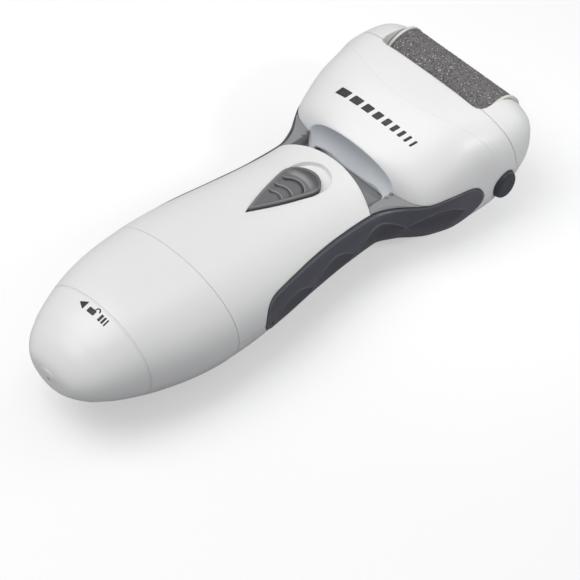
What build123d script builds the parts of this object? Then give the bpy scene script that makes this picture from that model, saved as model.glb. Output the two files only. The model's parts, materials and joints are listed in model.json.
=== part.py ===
from build123d import *
import math
import os

# Electric callus remover: battery handle, domed head and a driven abrasive roller.
# The solids are laid out with X running from the handle's tail tip to the head's nose, +Y to
# the left side and +Z to the switch side. On export they are moved so that the origin is the
# centre of the flat under the head. All lengths are in mm.

# ---- driving dimensions ---------------------------------------------------------------------
REST_Z = -19.0  # height of the flats that the object rests on, in the layout frame
BASE_X = 138.0  # station of the head's resting flat
SHIFT = (-BASE_X, 0.0, -REST_Z)
FAR = 50  # reach of cutting blocks that must clear the body
WALL = 2.2  # shell thickness
GAP = 0.12  # visible parting gap
SEAM_X = 49.7  # parting line between battery cover and handle
PART_Z = -1.0  # split between upper and lower handle shells, hidden under the grips
GRIP_PROUD, GRIP_DEEP = 0.25, 1.2  # grip surface above and grip back below the body surface
SWITCH_TRAVEL = 4.0

ROLLER_X, ROLLER_Z, ROLLER_R = 165.2, 7.8, 9.3
ROLLER_HALF = 20.2  # half length of the abrasive sleeve
CORE_R = 7.8  # outside of the roller core, inside of the sleeve
CAP_R, CAP_END_Y = 9.5, 21.2  # roller end caps: radius and outer face
BAY_HALF = 21.5  # half width of the roller window
WINDOW_X = 155.0  # rear edge of the roller window

MOTOR_X, MOTOR_Z, MOTOR_R = 145.4, 0.0, 9.9
MOTOR_SCREW_RISE = 5.0  # motor screws above and below the motor axis
SHAFT_R = 1.0

AXIS_Z = -1.0  # centre height of the battery bay and of the cover's twist
SPIGOT_R = 15.85  # round spigot that enters the battery cover
CELL_R, CELL_L, CELL_Y, CELL_X0 = 7.2, 50.0, 7.35, 18.3
CELL_X1 = CELL_X0 + CELL_L

CASE_SCREWS = [(79.0, 12.0), (79.0, -12.0), (104.0, 9.5), (104.0, -9.5)]  # X, Y
SLAB_HALF = 14.5  # half width of the chassis slab under the neck

BUTTON_X, BUTTON_Z = 155.7, -3.0  # release button centre
LEVER_Y, LEVER_Z = -24.95, 2.4  # release lever pivot
LEVER_HALF = 0.8  # half thickness of the lever plate
LEVER_FACE_Y = LEVER_Y - LEVER_HALF - 0.06  # just outside the lever's outer face
PIVOT_R = 0.8

# ---- gear train: motor pinion, compound gear, roller drive gear -------------------------------
MODULE = 0.6
PINION_TEETH, BIG_TEETH, SMALL_TEETH, DRIVE_TEETH = 12, 28, 14, 18
PRESSURE = math.radians(25.0)
MOTOR_MESH = MODULE * (PINION_TEETH + BIG_TEETH) / 2  # centre distances of the two meshes
ROLLER_MESH = MODULE * (SMALL_TEETH + DRIVE_TEETH) / 2
SPAN = math.hypot(MOTOR_Z - ROLLER_Z, MOTOR_X - ROLLER_X)
SPAN_ANGLE = math.atan2(MOTOR_Z - ROLLER_Z, MOTOR_X - ROLLER_X)
GEAR_BEND = math.acos((ROLLER_MESH**2 + SPAN**2 - MOTOR_MESH**2) / (2 * ROLLER_MESH * SPAN))
GEAR_X = ROLLER_X + ROLLER_MESH * math.cos(SPAN_ANGLE + GEAR_BEND)
GEAR_Z = ROLLER_Z + ROLLER_MESH * math.sin(SPAN_ANGLE + GEAR_BEND)
ROLLER_TO_GEAR = math.atan2(GEAR_Z - ROLLER_Z, GEAR_X - ROLLER_X)
GEAR_TO_MOTOR = math.atan2(MOTOR_Z - GEAR_Z, MOTOR_X - GEAR_X)

# ---- body sections --------------------------------------------------------------------------
# X, half width, top, bottom, height of greatest width, top exponent, bottom exponent
BODY = [
    (0, 0.5, 2.5, 1.7, 2.1, 2.05, 1.95), (0.6, 7.0, 4.8, -3.8, 1.5, 2.05, 1.97),
    (2.5, 11.3, 7.6, -6.0, 1.3, 2.05, 1.97), (6, 14.9, 10.6, -8.6, 1.4, 2.05, 1.96),
    (12, 18.5, 14.0, -11.7, 1.5, 2.05, 1.95), (20, 21.8, 16.6, -15.0, 1.5, 2.06, 1.95),
    (30, 24.8, 17.8, -17.8, 1.2, 2.07, 1.95), (42, 26.7, 17.8, -19.7, 0.4, 2.08, 1.95),
    (55, 27.3, 16.8, -19.8, 0.0, 2.08, 1.95), (70, 26.2, 15.1, -19.0, -0.5, 2.08, 1.95),
    (85, 24.3, 13.2, -18.3, -1.2, 2.08, 1.95), (100, 22.9, 11.4, -17.8, -2.0, 2.08, 1.95),
    (112, 22.6, 10.0, -17.6, -2.2, 2.08, 1.97), (120.8, 25.2, 11.2, -18.8, -2.8, 2.2, 2.1),
    (125, 27.6, 13.4, -19.6, -2.8, 2.45, 2.3), (128, 29.2, 14.9, -20.1, -2.7, 2.6, 2.45),
    (131, 30.2, 16.4, -20.4, -2.6, 2.8, 2.6), (138, 31.8, 19.3, -20.6, -2.3, 3.2, 2.9),
    (146, 32.5, 21.5, -20.2, -2.0, 3.5, 2.9), (154, 33.9, 20.8, -18.0, -0.4, 3.6, 2.8),
    (161, 33.4, 19.9, -14.0, 1.0, 3.6, 2.76), (167, 32.0, 18.2, -8.6, 2.2, 3.6, 2.76),
    (172, 28.6, 13.8, -3.7, 3.3, 3.6, 2.76), (175.5, 21.0, 9.7, -0.2, 4.0, 3.6, 2.76),
    (177.6, 12.4, 5.0, 4.0, 4.4, 3.6, 2.76),
]
# the head has its own rear end and shares the body's sections from X = 131 on
HEAD = [
    (119.5, 15.6, 10.4, -14.0, -2.8, 2.2, 2.1), (120.8, 17.2, 11.6, -16.0, -2.8, 2.2, 2.1),
    (122.4, 19.6, 12.8, -17.6, -2.8, 2.3, 2.2), (123.5, 23.4, 13.4, -18.4, -2.8, 2.35, 2.25),
    (124.8, 26.3, 14.0, -19.2, -2.8, 2.45, 2.3), (126.3, 28.0, 14.6, -19.7, -2.8, 2.5, 2.4),
    (128, 29.2, 15.3, -20.1, -2.7, 2.6, 2.45),
] + [row for row in BODY if row[0] >= 131]

# X stations through which the smooth solids are lofted
TAIL_X = [0, 0.25, 0.7, 1.5, 2.8, 4.6, 7, 10, 14, 19, 25, 32, 40, 49.7, 58]
TAIL_INNER_X = [2.4, 3.4, 5, 7, 10, 14, 19, 25, 32, 40, 49.7, 58]
GROOVE_STATIONS = [17, 18.5, 20, 21.5, 23]
HANDLE_X = [44, 52, 60, 70, 80, 90, 100, 108, 114, 120.8, 125.5, 131.5, 136]
GRIP_X = [56, 62, 70, 80, 90, 100, 108, 114, 120.8, 125.5, 131, 137, 144, 150]
SWITCH_STATIONS = [66, 74, 82, 90, 98, 106, 114, 120]
POST_X = [60, 75, 85, 95, 105, 120]
SLAB_X = [66, 74, 82, 90, 98, 106, 112, 118, 124, 132]
CHEEK_X = [104, 108, 112, 116, 120.8, 125.5, 131, 136]
TIE_X = [104, 110, 116, 122, 128, 134]
HEAD_X = [
    119.5, 120.2, 121.5, 123.5, 126, 129, 132.5, 137, 142, 147,
    152, 157, 162, 166.5, 170, 172.6, 174.6, 176, 177, 177.6,
]
HEAD_INNER_X = [
    121.8, 123.5, 126, 129, 132.5, 137, 142, 147, 152, 157, 162, 166.5, 170, 172.4, 174,
]
PLATE_X = [129, 132.5, 137, 142, 147, 152, 157]


# ---- lofted forms ---------------------------------------------------------------------------
def slopes(x, y):
    """Monotone tangent values at each station."""
    count = len(x)
    step = [x[i + 1] - x[i] for i in range(count - 1)]
    rise = [(y[i + 1] - y[i]) / step[i] for i in range(count - 1)]
    tangent = [rise[0]] + [0.0] * (count - 2) + [rise[-1]]
    for i in range(1, count - 1):
        if rise[i - 1] * rise[i] > 0:
            before = 2 * step[i] + step[i - 1]
            after = step[i] + 2 * step[i - 1]
            tangent[i] = (before + after) / (before / rise[i - 1] + after / rise[i])
    return tangent


def interpolator(rows):
    """A function giving the six section values at any X, by cubic Hermite pieces."""
    x = [row[0] for row in rows]
    columns = [[row[k] for row in rows] for k in range(1, 7)]
    tangents = [slopes(x, column) for column in columns]

    def at(station):
        station = min(max(station, x[0]), x[-1])
        i = max(j for j in range(len(x) - 1) if x[j] <= station or j == 0)
        step = x[i + 1] - x[i]
        s = (station - x[i]) / step
        start, start_slope = (1 + 2 * s) * (1 - s) ** 2, s * (1 - s) ** 2
        end, end_slope = s * s * (3 - 2 * s), s * s * (s - 1)
        return [
            start * col[i] + start_slope * step * tan[i]
            + end * col[i + 1] + end_slope * step * tan[i + 1]
            for col, tan in zip(columns, tangents)
        ]

    return at


body_at, head_at = interpolator(BODY), interpolator(HEAD)


def section_points(values, inset, count=28):
    """(Y, Z) points evenly spaced along one section, from the bottom centre round by +Y."""
    half, top, bottom, waist, top_power, bottom_power = values
    half, top, bottom = half - inset, top - inset, bottom + inset
    waist = min(max(waist, bottom + 0.1), top - 0.1)
    dense = []
    for i in range(721):
        angle = -math.pi / 2 + 2 * math.pi * i / 720
        c, s = math.cos(angle), math.sin(angle)
        power, height = (top_power, top - waist) if s >= 0 else (bottom_power, waist - bottom)
        y = math.copysign(half * abs(c) ** (2 / power), c)
        z = waist + math.copysign(height * abs(s) ** (2 / power), s)
        dense.append((y, z))
    run = [0.0]
    for p, q in zip(dense, dense[1:]):
        run.append(run[-1] + math.dist(p, q))
    points, j = [], 0
    for k in range(count):
        goal = run[-1] * k / count
        while run[j + 1] < goal:
            j += 1
        f = (goal - run[j]) / (run[j + 1] - run[j])
        points.append([dense[j][m] + f * (dense[j + 1][m] - dense[j][m]) for m in (0, 1)])
    return points


def hull(at, stations, inset=0.0):
    """The smooth solid through the sections at the stations, drawn in by inset."""
    faces = []
    for x in stations:
        points = [Vector(x, y, z) for y, z in section_points(at(x), inset)]
        faces.append(Face(Wire([Edge.make_spline(points, periodic=True)])))
    return Solid.make_loft([face.outer_wire() for face in faces])


# ---- simple forms ---------------------------------------------------------------------------
def block(x0, x1, y0, y1, z0, z1):
    centre = Pos((x0 + x1) / 2, (y0 + y1) / 2, (z0 + z1) / 2)
    return centre * Box(x1 - x0, y1 - y0, z1 - z0)


def across(x0, x1, z0=-FAR, z1=FAR, half=FAR):
    """A block centred on Y = 0; by default it clears the body on every side."""
    return block(x0, x1, -half, half, z0, z1)


def twin_block(x0, x1, y0, y1, z0, z1):
    """A block on the left side and its mirror image on the right."""
    return block(x0, x1, -y1, -y0, z0, z1) + block(x0, x1, y0, y1, z0, z1)


def rod_x(y, z, radius, x0, x1):
    return Pos((x0 + x1) / 2, y, z) * Rot(0, 90, 0) * Cylinder(radius, x1 - x0)


def rod_y(x, z, radius, y0, y1):
    return Pos(x, (y0 + y1) / 2, z) * Rot(90, 0, 0) * Cylinder(radius, y1 - y0)


def rod_z(x, y, radius, z0, z1):
    return Pos(x, y, (z0 + z1) / 2) * Cylinder(radius, z1 - z0)


def roller_rod(radius, y0, y1):
    return rod_y(ROLLER_X, ROLLER_Z, radius, y0, y1)


def motor_rod(radius, y0, y1, rise=0.0):
    return rod_y(MOTOR_X, MOTOR_Z + rise, radius, y0, y1)


def gear_rod(radius, y0, y1):
    return rod_y(GEAR_X, GEAR_Z, radius, y0, y1)


def cell_rods(radius, x0, x1):
    return rod_x(-CELL_Y, AXIS_Z, radius, x0, x1) + rod_x(CELL_Y, AXIS_Z, radius, x0, x1)


def plane_y(y):
    """Sketch plane whose local axes are X and Z; its normal is -Y."""
    return Plane(origin=(0, y, 0), x_dir=(1, 0, 0), z_dir=(0, -1, 0))


def prism_y(points, y0, y1):
    """A prism along Y from points given as (X, Z)."""
    face = plane_y(y1) * Polygon(*points, align=None)
    return extrude(face, amount=y1 - y0, dir=(0, -1, 0))


def prism_z(points, z0, z1):
    face = Plane(origin=(0, 0, z0)) * Polygon(*points, align=None)
    return extrude(face, amount=z1 - z0, dir=(0, 0, 1))


def smooth_prism(points, y0, y1):
    """A prism along Y with a smooth closed outline through the (X, Z) points."""
    face = plane_y(y1) * make_face(Spline(*points, periodic=True))
    return extrude(face, amount=y1 - y0, dir=(0, -1, 0))


def hex_rod(radius, y, depth):
    """A hexagonal rod on the roller axis, from y toward -Y."""
    face = plane_y(y) * Pos(ROLLER_X, ROLLER_Z) * RegularPolygon(radius, 6)
    return extrude(face, amount=depth, dir=(0, -1, 0))


def oval_rod(radius_x, radius_z, y, depth):
    """An elliptical rod on the release button's axis, from y toward -Y."""
    face = plane_y(y) * Pos(BUTTON_X, BUTTON_Z) * Ellipse(radius_x, radius_z)
    return extrude(face, amount=depth, dir=(0, -1, 0))


def sweep_round(path, radius):
    start = Plane(origin=path @ 0, z_dir=path % 0)
    return sweep(start * Circle(radius), path=path)


def coil(radius, wire, length, turns):
    """A compression spring along +Z whose centreline starts at Z = 0."""
    rise = length - wire
    return sweep_round(Helix(pitch=rise / turns, height=rise, radius=radius), wire / 2)


def one(shape):
    """The largest solid of a shape, for cuts that leave slivers."""
    return sorted(shape.solids(), key=lambda solid: -solid.volume)[0]


os.makedirs("parts", exist_ok=True)


def save(name, *shapes):
    """Writes one piece, made of one or more solids, without slivers."""
    solids = [s for shape in shapes for s in shape.solids() if s.volume > 0.05]
    moved = [s.moved(Location(SHIFT)) for s in solids]
    export_step(moved[0] if len(moved) == 1 else Compound(moved), f"parts/{name}.step")


# ---- master solids --------------------------------------------------------------------------
outer_tail, inner_tail = hull(body_at, TAIL_X), hull(body_at, TAIL_INNER_X, WALL)
outer_handle, inner_handle = hull(body_at, HANDLE_X), hull(body_at, HANDLE_X, WALL)
outer_head, inner_head = hull(head_at, HEAD_X), hull(head_at, HEAD_INNER_X, WALL)
head_clearance = hull(head_at, HEAD_X[:9], -GAP) & across(118, 140)
rest_cut = across(-10, 200, -40, REST_Z)  # everything below the resting flats

# ---- side grips -----------------------------------------------------------------------------
# X, Z of the left grip's outline, clockwise seen from the right
GRIP_LINE = [
    (60.7, -1.4), (61.3, 2.1), (62.6, 4.3), (64.6, 5.6), (68.9, 6.2), (77, 6.1), (85.7, 5.8),
    (95, 5.2), (105, 4.4), (116, 3.5), (123, 2.9), (128, 2.9), (133, 3.3), (138, 3.4),
    (142, 2.8), (145, 1.3), (147, -1.2), (147.8, -3.6), (147.5, -5.8), (146, -8.4),
    (143, -10.7), (139, -12.0), (132, -12.5), (122, -12.3), (110, -12.0), (95, -11.8),
    (80, -11.2), (70, -9.8), (66, -8.3), (62.8, -5.5), (61.1, -3.2),
]
DIMPLES = [(73.6, -1.8, 8.4), (92.3, -2.4, 8.5), (112.0, -3.4, 8.5), (130.7, -4.6, 9.0)]
#           each X, Z, half length
DIMPLE_RISE = 3.4  # half height
DIMPLE_DEPTH = 0.4  # below the body surface
# lens outline as fractions of the half length and half height
LENS = [(-1, 0), (-0.5, 0.76), (0, 1), (0.5, 0.76), (1, 0), (0.5, -0.76), (0, -1), (-0.5, -0.76)]
POCKET_PLAY = 0.15  # round the grip's edge
POCKET_DEPTH_PLAY = 0.08  # behind the grip


def outline(points, grow):
    """A closed outline, pushed outward by grow."""
    pushed = []
    for i, (x, z) in enumerate(points):
        (xa, za), (xb, zb) = points[i - 1], points[(i + 1) % len(points)]
        dx, dz = xb - xa, zb - za
        size = math.hypot(dx, dz)
        pushed.append((x - grow * dz / size, z + grow * dx / size))
    return pushed


def left_grip():
    """Grip with four lens-shaped dimples and a small hole near its tail end."""
    skin_out = hull(body_at, GRIP_X, -GRIP_PROUD)
    skin_in = hull(body_at, GRIP_X, GRIP_DEEP)
    grip = one((skin_out & smooth_prism(GRIP_LINE, 8, 42)) - skin_in)
    dimple_floor = hull(body_at, GRIP_X, DIMPLE_DEPTH)
    for x, z, half in DIMPLES:
        lens = [(x + along * half, z + up * DIMPLE_RISE) for along, up in LENS]
        for bit in (prism_y(lens, 12, 42) - dimple_floor).solids():
            grip = one(grip - bit)
    return one(grip - rod_y(63.6, -2.4, 0.65, 20, 32))


def left_pocket():
    """The cut that seats the left grip in the shells."""
    skin = hull(body_at, GRIP_X, GRIP_DEEP + POCKET_DEPTH_PLAY)
    return smooth_prism(outline(GRIP_LINE, POCKET_PLAY), 5, 45) - skin


grip_left = left_grip()
save("grip_left", grip_left)
save("grip_right", one(mirror(grip_left, about=Plane.XZ)))
pocket_left = left_pocket()
pocket_right = mirror(pocket_left, about=Plane.XZ)

# ---- battery cover --------------------------------------------------------------------------
GROOVE_X, GROOVE_HALF, GROOVE_DEPTH = 20.0, 0.25, 0.14  # shallow ring groove
COLLAR_X = 43.5
TAIL_HOLE_R = 0.75


def battery_cover():
    cover = outer_tail - inner_tail
    cover = cover & across(-5, SEAM_X - GAP)
    collar = inner_tail & across(COLLAR_X, SEAM_X - GAP)
    cover = cover + (collar - rod_x(0, AXIS_Z, SPIGOT_R + 0.1, 40, 60))
    skin = hull(body_at, GROOVE_STATIONS, -1.0) - hull(body_at, GROOVE_STATIONS, GROOVE_DEPTH)
    groove = skin & across(GROOVE_X - GROOVE_HALF, GROOVE_X + GROOVE_HALF)
    return one(cover - groove - rod_x(0, 0.0, TAIL_HOLE_R, -3, 5) - rest_cut)


save("battery_cover", battery_cover())

# ---- contact carrier, bridge and springs inside the cover -------------------------------------
CARRIER_X = 15.4  # front face of the carrier
BRIDGE_X = CARRIER_X + 0.3


def contact_carrier():
    plate = across(14.2, CARRIER_X, -4.2, 4.4, half=10.0)
    return plate + across(12.8, 14.2, -3.5, 3.5, half=7)


def bridge_contact():
    pads = twin_block(CARRIER_X, BRIDGE_X, 3.6, 9.8, -4.0, 2.6)
    return pads + across(CARRIER_X, BRIDGE_X, -2, 0, half=3.6)


def contact_spring(y):
    wire = 0.5
    spring = coil(radius=2.2, wire=wire, length=2.55, turns=2.2)
    return Location((BRIDGE_X + 0.02 + wire / 2, y, AXIS_Z)) * (Rot(0, 90, 0) * spring)


save("contact_carrier", contact_carrier())
save("bridge_contact", bridge_contact())
save("contact_springs", contact_spring(-CELL_Y), contact_spring(CELL_Y))

# ---- battery tray, seal ring, cells and front contacts ----------------------------------------
SPIGOT_X0, TRAY_LEDGE_X = 44.5, 52.0
SEAL_X, SEAL_WIRE_R = 47.0, 0.46
SEAL_GROOVE_HALF = 0.6


def battery_tray():
    spigot = rod_x(0, AXIS_Z, SPIGOT_R, SPIGOT_X0, TRAY_LEDGE_X)
    ledge = hull(body_at, [44, 49, 54], WALL + 0.2) & across(SEAM_X + 0.1, TRAY_LEDGE_X)
    front_wall = hull(body_at, [60, 68, 76], WALL + 0.2) & across(68.6, 70.2)
    tubes = cell_rods(CELL_R + 1.0, 45, 69)
    tubes = tubes & rod_x(0, AXIS_Z, SPIGOT_R - 0.02, SPIGOT_X0, 69)
    tray = spigot + ledge + front_wall + tubes
    bores = cell_rods(CELL_R + 0.12, 40, 68.7)
    ring_groove = rod_x(
        0, AXIS_Z, SPIGOT_R + 1, SEAL_X - SEAL_GROOVE_HALF, SEAL_X + SEAL_GROOVE_HALF
    ) - rod_x(0, AXIS_Z, SPIGOT_R - 0.75, 46, 48)
    tray = tray - bores - ring_groove
    return one(tray - twin_block(68, 71, 5.4, 9.2, AXIS_Z - 1.6, AXIS_Z + 1.6))


def cover_seal():
    seal = Pos(SEAL_X, 0, AXIS_Z) * Rot(0, 90, 0) * Torus(SPIGOT_R - 0.4, SEAL_WIRE_R)
    return seal - rod_x(0, AXIS_Z, SPIGOT_R - 0.74, 40, 55)


def cell(y, cap_to_tail):
    """A battery cell with its small cap at the tail end or at the front end."""
    cap_r, cap_rise, cap_length = 2.6, 1.0, 1.2
    if cap_to_tail:
        can = rod_x(y, AXIS_Z, CELL_R, CELL_X0 + cap_rise, CELL_X1)
        return one(can + rod_x(y, AXIS_Z, cap_r, CELL_X0, CELL_X0 + cap_length))
    can = rod_x(y, AXIS_Z, CELL_R, CELL_X0, CELL_X1 - cap_rise)
    return one(can + rod_x(y, AXIS_Z, cap_r, CELL_X1 - cap_length, CELL_X1))


def front_contact(y):
    """A square pad with a solder tab running forward."""
    pad = block(68.32, 68.58, y - 3.4, y + 3.4, AXIS_Z - 3.2, AXIS_Z + 3.2)
    return one(pad + block(68.4, 72.4, y - 1.4, y + 1.4, AXIS_Z - 0.3, AXIS_Z))


save("battery_tray", battery_tray())
save("cover_seal", cover_seal())
save("battery_cells", cell(-CELL_Y, False), cell(CELL_Y, True))
save("front_contacts", front_contact(-CELL_Y), front_contact(CELL_Y))

# ---- slide switch geometry ------------------------------------------------------------------
SWITCH_X, SWITCH_SLOPE = 92.0, -0.1195  # the switch slides along the falling top line
SLOPE_LENGTH = math.hypot(1, SWITCH_SLOPE)
SLIDE_UP = Vector(-SWITCH_SLOPE / SLOPE_LENGTH, 0, 1 / SLOPE_LENGTH)
SLIDE = Plane(
    origin=(SWITCH_X, 0, body_at(SWITCH_X)[1]),
    x_dir=Vector(1 / SLOPE_LENGTH, 0, SWITCH_SLOPE / SLOPE_LENGTH),
    z_dir=SLIDE_UP,
)
# teardrop in the slide plane: tip, centre of the round end and its radius
TEAR_TIP, TEAR_CENTRE, TEAR_R = -14.2, 8.1, 6.75
TEAR_BULGE = 0.5  # outward bow of the straight flanks
STEM_X, STEM_PLAY = 1.95, 0.02


def teardrop(grow, stretch):
    """Teardrop outline; the round end is stretched forward by stretch."""
    radius = TEAR_R + grow
    tip = TEAR_TIP - 1.8 * grow
    tangent = math.acos(radius / (TEAR_CENTRE - tip))
    join_x = TEAR_CENTRE + radius * math.cos(math.pi - tangent)
    join_y = radius * math.sin(math.pi - tangent)
    upper = []
    for k in range(1, 6):
        f = k / 6
        upper.append((tip + f * (join_x - tip), f * join_y + TEAR_BULGE * math.sin(math.pi * f)))
    for k in range(5):
        angle = math.pi - tangent - (math.pi / 2 - tangent) * k / 5
        upper.append((TEAR_CENTRE + radius * math.cos(angle), radius * math.sin(angle)))
    for k in range(9):
        angle = math.pi / 2 * (1 - k / 8)
        x = TEAR_CENTRE + stretch + radius * math.cos(angle)
        upper.append((x, radius * math.sin(angle)))
    return [(tip, 0.0)] + upper + [(x, -y) for x, y in reversed(upper[:-1])]


def teardrop_solid(z0, z1, grow=0.0, stretch=0.0):
    face = SLIDE.offset(z0) * Polygon(*teardrop(grow, stretch), align=None)
    return extrude(face, amount=z1 - z0, dir=SLIDE_UP)


def slide_box(x, z, length, width, height):
    """A box centred at x, z in the slide plane's own frame."""
    return SLIDE * Pos(x, 0, z) * Box(length, width, height)


# ---- upper handle shell ---------------------------------------------------------------------
FRONT_X, FRONT_FALL = 115.2, 4.9  # arched front edge: X at the centre, fall back at the sides
FRONT_HALF = 21.5  # half width at which the edge has fallen back by that much


def behind_arch(shift, z0, z1):
    """The region behind the handle's arched front edge, moved toward the tail by shift."""
    arch = []
    for i in range(-10, 11):
        y = 2.6 * i
        arch.append((FRONT_X - shift - FRONT_FALL * (y / FRONT_HALF) ** 2, y))
    rear_right, rear_left = (40, -40), (40, 40)
    edges = Polyline(rear_left, rear_right, arch[0]) + Spline(*arch) + Line(arch[-1], rear_left)
    face = Plane(origin=(0, 0, z0)) * make_face(edges)
    return extrude(face, amount=z1 - z0, dir=(0, 0, 1))


neck_cut = behind_arch(-0.15, -20, 20)  # clears the chassis from the upper shell's edge


def handle_front_cover():
    behind = behind_arch(0.0, -40, 40)
    outside = outer_handle & behind & across(SEAM_X, 130, PART_Z + GAP / 2, 50)
    hollow = inner_handle & behind_arch(2.0, -40, 40) & across(40, 130)
    cover = outside - hollow
    switch_floor = hull(body_at, SWITCH_STATIONS, 1.35)
    switch_pocket = teardrop_solid(-6, 6, 0.25, SWITCH_TRAVEL + 0.15) - switch_floor
    slot = slide_box(4.0, -2, 4.4 + SWITCH_TRAVEL + 0.2, 3.4, 8)
    cover = cover - switch_pocket - slot - pocket_left - pocket_right
    return one(cover - across(104, 124, -3, 0.7, half=SLAB_HALF + GAP))


save("handle_front_cover", handle_front_cover())


# ---- slide switch button and carriage ---------------------------------------------------------
def slide_switch_button():
    """Teardrop button with crescent grooves across the round end and a stem below."""
    button_top = hull(body_at, SWITCH_STATIONS, -0.9)
    button_base = hull(body_at, SWITCH_STATIONS, 1.1)
    groove_floor = hull(body_at, SWITCH_STATIONS, -0.45)
    button = one((teardrop_solid(-6, 6) & button_top) - button_base)
    groove_r, groove_width = 6.6, 0.55
    for front in (3.2, 6.4, 9.6):
        disc = Pos(front - groove_r, 0) * Circle(groove_r)
        inner_disc = Pos(front - groove_r - groove_width, 0) * Circle(groove_r)
        crescent = SLIDE.offset(-3) * (disc - inner_disc)
        cut = extrude(crescent, amount=6, dir=SLIDE_UP) - groove_floor
        for bit in cut.solids():
            button = one(button - bit)
    return button + slide_box(STEM_X, -2.9, 4.2, 3.0, 4.2)


def switch_carriage():
    plate = slide_box(2.0, -3.4, 13, 8, 1.2)
    carriage = plate - slide_box(STEM_X, -3.4, 4.2 + STEM_PLAY, 3.0 + STEM_PLAY, 3)
    return one(carriage + slide_box(-2.6, -4.7, 2.4, 2.4, 1.6))


save("slide_switch_button", slide_switch_button())
save("switch_carriage", switch_carriage())


# ---- lower handle shell and its screws --------------------------------------------------------
def handle_back_shell():
    lower = (outer_handle - inner_handle) & across(SEAM_X, 131.0, -50, PART_Z - GAP / 2)
    post_limit = hull(body_at, POST_X, 0.8)
    for x, y in CASE_SCREWS:
        lower = lower + (rod_z(x, y, 3.4, -30, PART_Z - 0.2) & post_limit)
        lower = lower - rod_z(x, y, 1.25, -30, 0) - rod_z(x, y, 2.6, -30, -11.6)
    return one(lower - pocket_left - pocket_right - rest_cut)


def case_screw(x, y):
    """Screw with its cross-slotted head at the bottom."""
    slot_long, slot_half = 1.6, 0.25
    screw = rod_z(x, y, 1.15, -12, -0.6) + rod_z(x, y, 2.3, -13.4, -11.7)
    for dx, dy in ((slot_long, slot_half), (slot_half, slot_long)):
        screw = screw - block(x - dx, x + dx, y - dy, y + dy, -14, -12.8)
    return one(screw)


save("handle_back_shell", handle_back_shell())
save("case_screws", *[case_screw(x, y) for x, y in CASE_SCREWS])

# ---- chassis --------------------------------------------------------------------------------
SLAB_X0, SLAB_Z0, SLAB_Z1 = 72.6, PART_Z + 0.05, 0.6


def chassis_slab():
    form = hull(body_at, SLAB_X, WALL + 0.45)
    slab = form & across(SLAB_X0, 132.0, SLAB_Z0, SLAB_Z1, half=SLAB_HALF)
    wide = form & across(SLAB_X0, 111.0, SLAB_Z0, SLAB_Z1) & behind_arch(2.35, -40, 40)
    return slab + wide


def chassis_cheeks():
    """Side walls of the neck recess, with two small teeth on the inner face of each."""
    cheeks = hull(body_at, CHEEK_X, 0.02) & across(104, 133.5, SLAB_Z0, 5.2)
    # the top of each cheek falls outward and forward, to meet the top edge of the grip
    tilted = Plane(origin=(110, 17.6, 4.99), z_dir=(0.0475, 0.133, 1))
    above = tilted * (Pos(0, 0, 20) * Box(140, 140, 40))
    cheeks = cheeks - above - mirror(above, about=Plane.XZ)
    for side in (-1, 1):
        y0, y1 = sorted((side * 17.65, side * 18.45))
        for x, top in ((119.0, 4.9), (121.2, 5.1)):
            cheeks = cheeks + block(x, x + 0.7, y0, y1, 3.6, top)
    cheeks = cheeks - neck_cut
    return cheeks - across(104, 122.4, 0.5, 20, half=17.6) - head_clearance


def chassis_frame():
    head_cut = head_clearance & across(118, 140, PART_Z, 50)
    chassis = chassis_slab() - head_cut + chassis_cheeks()
    # stepped block in the neck recess
    step = across(113.6, 118.6, 0.4, 3.6, half=5.5) + across(114.0, 118.0, 3.4, 6.4, half=2.2)
    step = step - neck_cut
    # tie plate under the recess floor carries the cheeks
    tie_form = hull(body_at, TIE_X, WALL + 0.25)
    tie = tie_form & across(108, 130.5, -3.4, PART_Z - 0.05)
    tie = tie + (tie_form & across(108, 118.9, -3.4, PART_Z + 0.1, half=14.4))
    chassis = chassis + step + tie
    for x, y in CASE_SCREWS:
        chassis = chassis + rod_z(x, y, 3.2, 0.4, 2.2)
        chassis = chassis - rod_z(x, y, 1.16, -6, 1.2)
    chassis = chassis - pocket_left - pocket_right
    # two wire passages
    return one(chassis - rod_x(-6, -2.4, 1.2, 100, 140) - rod_x(6, -2.4, 1.2, 100, 140))


save("chassis_frame", chassis_frame())

# ---- head shell and nose bezel ----------------------------------------------------------------
# inset from the window's rear edge, inset from its side, round one rear corner
WINDOW_CORNER = [(0, 3.4), (0.45, 1.6), (1.6, 0.45), (3.4, 0)]
BAY_WALL = 1.5
SCOOP_CENTRE, SCOOP_RADII, SCOOP_WALL = (107.0, 0, 6.0), (18.5, 32.0, 12.5), 2.2
# the seam between head shell and nose leans forward toward the bottom
SEAM_TOP_X, SEAM_TOP_Z, SEAM_LEAN = 156.5, 19.5, 7.0 / 26.5


def window_cut():
    corner = [(WINDOW_X + dx, BAY_HALF - dy) for dx, dy in WINDOW_CORNER]
    right = [(x, -y) for x, y in corner]
    plan = right + [(190, -BAY_HALF), (190, BAY_HALF)] + corner[::-1]
    return prism_z(plan, 8.0, 40) + across(168.0, 190, 1.4, 20, half=BAY_HALF)


def scoop_form(grow):
    radii = tuple(radius + grow for radius in SCOOP_RADII)
    return Pos(*SCOOP_CENTRE) * scale(Sphere(1.0), by=radii)


def lever_ears():
    """Two ears that hold the ends of the release lever's pivot."""
    ears = block(152.6, 153.7, -26.2, -22.5, 1.1, 3.7)
    ears = ears + block(168.2, 169.3, -26.2, -22.5, 1.1, 3.7)
    return ears - rod_x(LEVER_Y, LEVER_Z, PIVOT_R + 0.02, 150, 172)


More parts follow.
